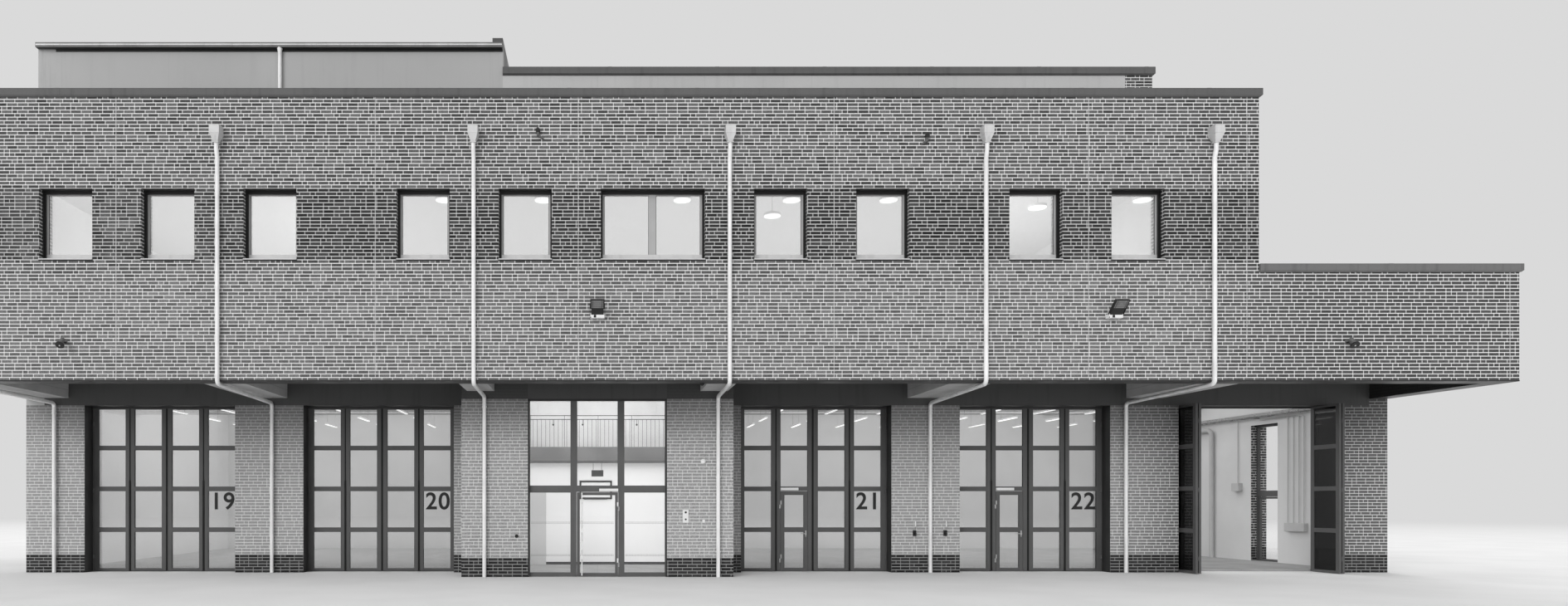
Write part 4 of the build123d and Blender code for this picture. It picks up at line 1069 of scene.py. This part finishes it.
for x, z, side in ((-1.395, 10.63, 1), (7.73, 10.50, -1)):
    dark.peg(x, proud(FRONT, 0.09), z, 0.052)
    bent = x + side * 0.015
    spouts.rod((x, FRONT - 0.05, z - 0.04), (bent, FRONT - 0.06, z - 0.14), 0.034)
    spouts.rod((bent, FRONT - 0.06, z - 0.13), (x + side * 0.13, FRONT - 0.02, z - 0.185), 0.03, 0.016)

# Vehicle halls: strip lights, cable tray, pipes

TUBE_PLACES = [-14.2, -12.4, -10.6, -8.6, -6.6, -4.6] + [4.3 + 1.8 * k for k in range(9)]
TUBE_FOOT, TUBE_TOP, TUBE_LENGTH = 4.99, 5.04, 1.5
TRAY = (20.62, 21.1)

housings = Shape("hall_light_housings", WHITE, "white_paint", 0.004)
covers = Shape("hall_light_covers", GLOW, "white_paint")
hangers = Shape("hall_tray_and_hangers", STEEL, "steel")
for x in TUBE_PLACES:
    for y in (2.4, 5.2, 8.0, 10.8):
        ys = (y, y + TUBE_LENGTH)
        housings.block(about(x, 0.05), ys, (TUBE_FOOT, TUBE_TOP))
        covers.block(about(x, 0.04), inset(ys, 0.02), (TUBE_FOOT - 0.018, TUBE_FOOT))
        for hanger in inset(ys, 0.2):
            hangers.post(x, hanger, (TUBE_TOP, HALL_CEILING), 0.006, sides=8)
for edge, way in ends_of(TRAY):
    hangers.block(span(edge, way, 0.02), (0.8, 12.5), (4.62, 4.70))
for k in range(39):
    y = 0.95 + 0.3 * k
    hangers.block(inset(TRAY, 0.02), (y, y + 0.025), (4.625, 4.64))
for y in (1.2, 4.2, 7.2, 10.2, 12.2):
    hangers.block((TRAY[0], END_FACE), (y, y + 0.03), (4.59, 4.62))

wire_x = END_FACE - 0.04
ducts = Shape("hall_pipes", SEALANT, "zinc", 0.003)
ducts.tube([(21.06, 6.4, HALL_FLOOR), (21.06, 6.4, 4.4), (21.06, 12.6, 4.4)], 0.07, 0.2)
for y in (2.3, 2.5, 2.72, 2.95):
    ducts.tube([(wire_x, y, 1.3), (wire_x, y, 4.55), (wire_x, y + 1.2, 4.55)], 0.013, 0.08, 12)
ducts.post(wire_x, 5.17, (2.5, 4.6), 0.014, sides=12)
for xs in ((4.0, 21.1), (-15.1, -3.6)):
    for y, z in ((4.4, 5.3), (7.0, 5.2), (10.2, 5.35)):
        ducts.rod((xs[0], y, z), (xs[1], y, z), 0.045, sides=16)
ducts.block((21.02, END_FACE), (5.0, 5.35), (2.3, 2.56))
ducts.block((21.04, END_FACE), (2.2, 3.0), (1.05, 1.3))

# Entrance hall: wall boards, sign box, door, notice board, railing, lamps, skirting

boards = Shape("gallery_wall_boards", BOARD, "plaster", 0.002)
for place in range(5):
    x = 1.191 * place - 2.975
    boards.block((x, x + 1.186), proud(LOBBY_WALL, 0.02), (3.52, 5.35))
boards.block(LOBBY, proud(LOBBY_WALL, 0.035), (3.5, 3.56))

sign_box = Shape("hanging_box", BLACK, "dark_metal", 0.003)
sign_box.block(about(0.0, 0.17), about(1.075, 0.015), (2.66, 2.84))
for x in (-0.12, 0.12):
    sign_box.post(x, 1.075, (2.84, 3.11), 0.006, sides=8)

door = Shape("passage_door", DOOR_LEAF, "plaster", 0.002)
door.block((LOBBY[0], -1.55), proud(LOBBY_WALL, 0.03), (HALL_FLOOR, 2.36))

board_frame = Shape("notice_board_frame", BLACK, "dark_metal", 0.002)
board_frame.border((-0.54, 0.44), proud(LOBBY_WALL, 0.04), (2.02, 2.58), 0.055)
board_frame.block((-0.40, 0.30), proud(LOBBY_WALL, 0.05, 0.03), (2.01, 2.03))
board = Shape("notice_board", WHITE, "white_paint")
board.block((-0.485, 0.385), proud(LOBBY_WALL, 0.025), (2.075, 2.525))

RAIL_Y = GALLERY_Y + 0.02

railing = Shape("gallery_railing", BLACK, "dark_metal", stands_for=["gallery_rail"])
railing.block(LOBBY, about(RAIL_Y, 0.02), (RAIL_TOP - 0.016, RAIL_TOP))
railing.block(LOBBY, about(RAIL_Y, 0.01), (4.274, 4.292))
for k in range(-24, 25):
    railing.block(about(0.12 * k - 0.0355, 0.0045), about(RAIL_Y, 0.0045), (GALLERY_FLOOR, 4.274))
for x in (-2.86, -1.9, -0.94, 0.02, 0.98, 1.94, 2.86):
    railing.block(about(x, 0.005), about(RAIL_Y, 0.015), (GALLERY_FLOOR, RAIL_TOP - 0.016))

spots = Shape("gallery_spot_lamps", BLACK, "dark_metal")
for x in (-1.26, -0.42, 1.12):
    spots.peg(x, (0.965, 1.012), 4.13, 0.026, sides=16)
    spots.post(x, 1.012, (4.13, 4.28), 0.006, sides=8)

skirting = Shape("hall_skirting", DRIP, "dark_metal", 0.002)
skirting.block(LOBBY, proud(LOBBY_WALL, 0.015), (HALL_FLOOR, 0.13))

# Upper storey: round lamps on rods

LAMP_Z = 9.62
LAMP_PLACES = ((-3.9, -1.8), (-1.38, -1.8), (2.16, -1.8), (4.95, -1.8), (4.7, -0.5), (7.42, -1.8),
               (11.5, -1.2), (13.9, -1.8))

discs = Shape("upper_lamp_covers", GLOW, "white_paint")
rods = Shape("upper_lamps", WHITE, "white_paint", 0.004)
for x, y in LAMP_PLACES:
    discs.post(x, y, (LAMP_Z - 0.02, LAMP_Z), 0.22, sides=48)
    rods.post(x, y, (LAMP_Z, LAMP_Z + 0.06), 0.23, sides=48)
    rods.post(x, y, (LAMP_Z + 0.06, UPPER_CEILING), 0.012, sides=12)

finish_shapes()


# Light

def light(name, kind, power, place=(0, 0, 0), turn=(0, 0, 0)):
    """Lamp, turned by angles in degrees, that no glossy surface shows."""
    lamp = new_object(name, bpy.data.lights.new(name, kind))
    lamp.data.energy = power
    lamp.location = place
    lamp.rotation_euler = [math.radians(angle) for angle in turn]
    lamp.visible_glossy = False
    return lamp


def area_light(name, place, size, power, turn=(0, 0, 0)):
    """Soft rectangular lamp that the camera doesn't see."""
    lamp = light(name, "AREA", power, place, turn)
    lamp.data.shape = "RECTANGLE"
    lamp.data.size, lamp.data.size_y = size
    lamp.visible_camera = False


def sun(name, azimuth, elevation, strength):
    """Broad soft light from far away."""
    lamp = light(name, "SUN", strength, turn=(90 - elevation, 0, azimuth))
    lamp.data.angle = math.radians(36)


sun("front_light", -32, 18, 1.62)
sun("rear_light", 155, 35, 0.8)
area_light("right_hall_light", (12.3, 6.5, 6.2), (16.0, 10.0), 765)
area_light("left_hall_light", (-9.3, 6.5, 6.2), (10.5, 10.0), 560)
area_light("entrance_light", (0, -0.9, 3.0), (5.4, 5.2), 165, (90, 0, 0))
area_light("gallery_light", (0, 0.4, 4.3), (5.4, 1.6), 56, (90, 0, 0))
area_light("lobby_light", (0, 1.9, 3.05), (5.4, 1.0), 22)
area_light("upper_light", (-0.3, 4.6, 7.1), (29.0, 14.0), 1600, (180, 0, 0))
area_light("upper_left_light", (-7.6, 4.6, 8.4), (3.0, 10.0), 190, (0, 90, 0))
area_light("upper_right_light", (10.6, 1.6, 8.4), (3.0, 8.0), 160, (0, -90, 0))

# Studio: backdrop, floor and camera

BACKDROP = grey(218)
FLOOR_HALF, FLOOR_Z = 500, -0.003

sky = Graph("studio", "worlds")
bpy.context.scene.world = sky.owner
rays = sky.add("LightPath").outputs
straight = [rays[f"Is {kind} Ray"] for kind in ("Camera", "Glossy", "Transmission")]
ambient = sky.add("Background", {0: (1, 1, 1, 1), 1: 0.8})
backdrop = sky.add("Background", {0: BACKDROP})
shares = {0: sky.most(*straight), 1: ambient.outputs[0], 2: backdrop.outputs[0]}
sky.add("OutputWorld", {0: sky.add("MixShader", shares).outputs[0]})


def floor_material():
    """Pale floor that runs into the backdrop far from the object."""
    g = Graph("studio_floor")
    x, y, _ = g.parts(g.place)
    away = g.math("SQRT", g.math("ADD", g.times(x, x), g.times(y, y)))
    tone = g.greys(g.clouds(0.5), 232, 238)
    tone = g.mix(0.15, tone, g.greys(g.noise(30.0, 2.0), 216, 250))
    near = g.add("BsdfDiffuse", {"Color": tone})
    far = g.add("Emission", {"Color": BACKDROP})
    shaders = {0: g.remap(away, 30.0, 120.0), 1: near.outputs[0], 2: far.outputs[0]}
    g.add("OutputMaterial", {0: g.add("MixShader", shaders).outputs[0]})
    return g.owner


corners = [(x * FLOOR_HALF, y * FLOOR_HALF, FLOOR_Z) for x, y in ((-1, -1), (1, -1), (1, 1), (-1, 1))]
ground = bpy.data.meshes.new("floor")
ground.from_pydata(corners, [], [(0, 1, 2, 3)])
ground.materials.append(floor_material())
floor = new_object("floor", ground)

# Eye height and distance come from the photograph's horizon and the size of its bays
view = bpy.data.cameras.new("camera")
view.lens = 21.352
view.sensor_width = 36.0
view.shift_x = 0.119
view.shift_y = 0.128
view.clip_end = 2000
camera = new_object("camera", view)
camera.location = (0, -25.5, 1.88)
camera.rotation_euler = (math.pi / 2, 0, 0)
bpy.context.scene.camera = camera
bpy.context.scene.view_settings.view_transform = "Standard"
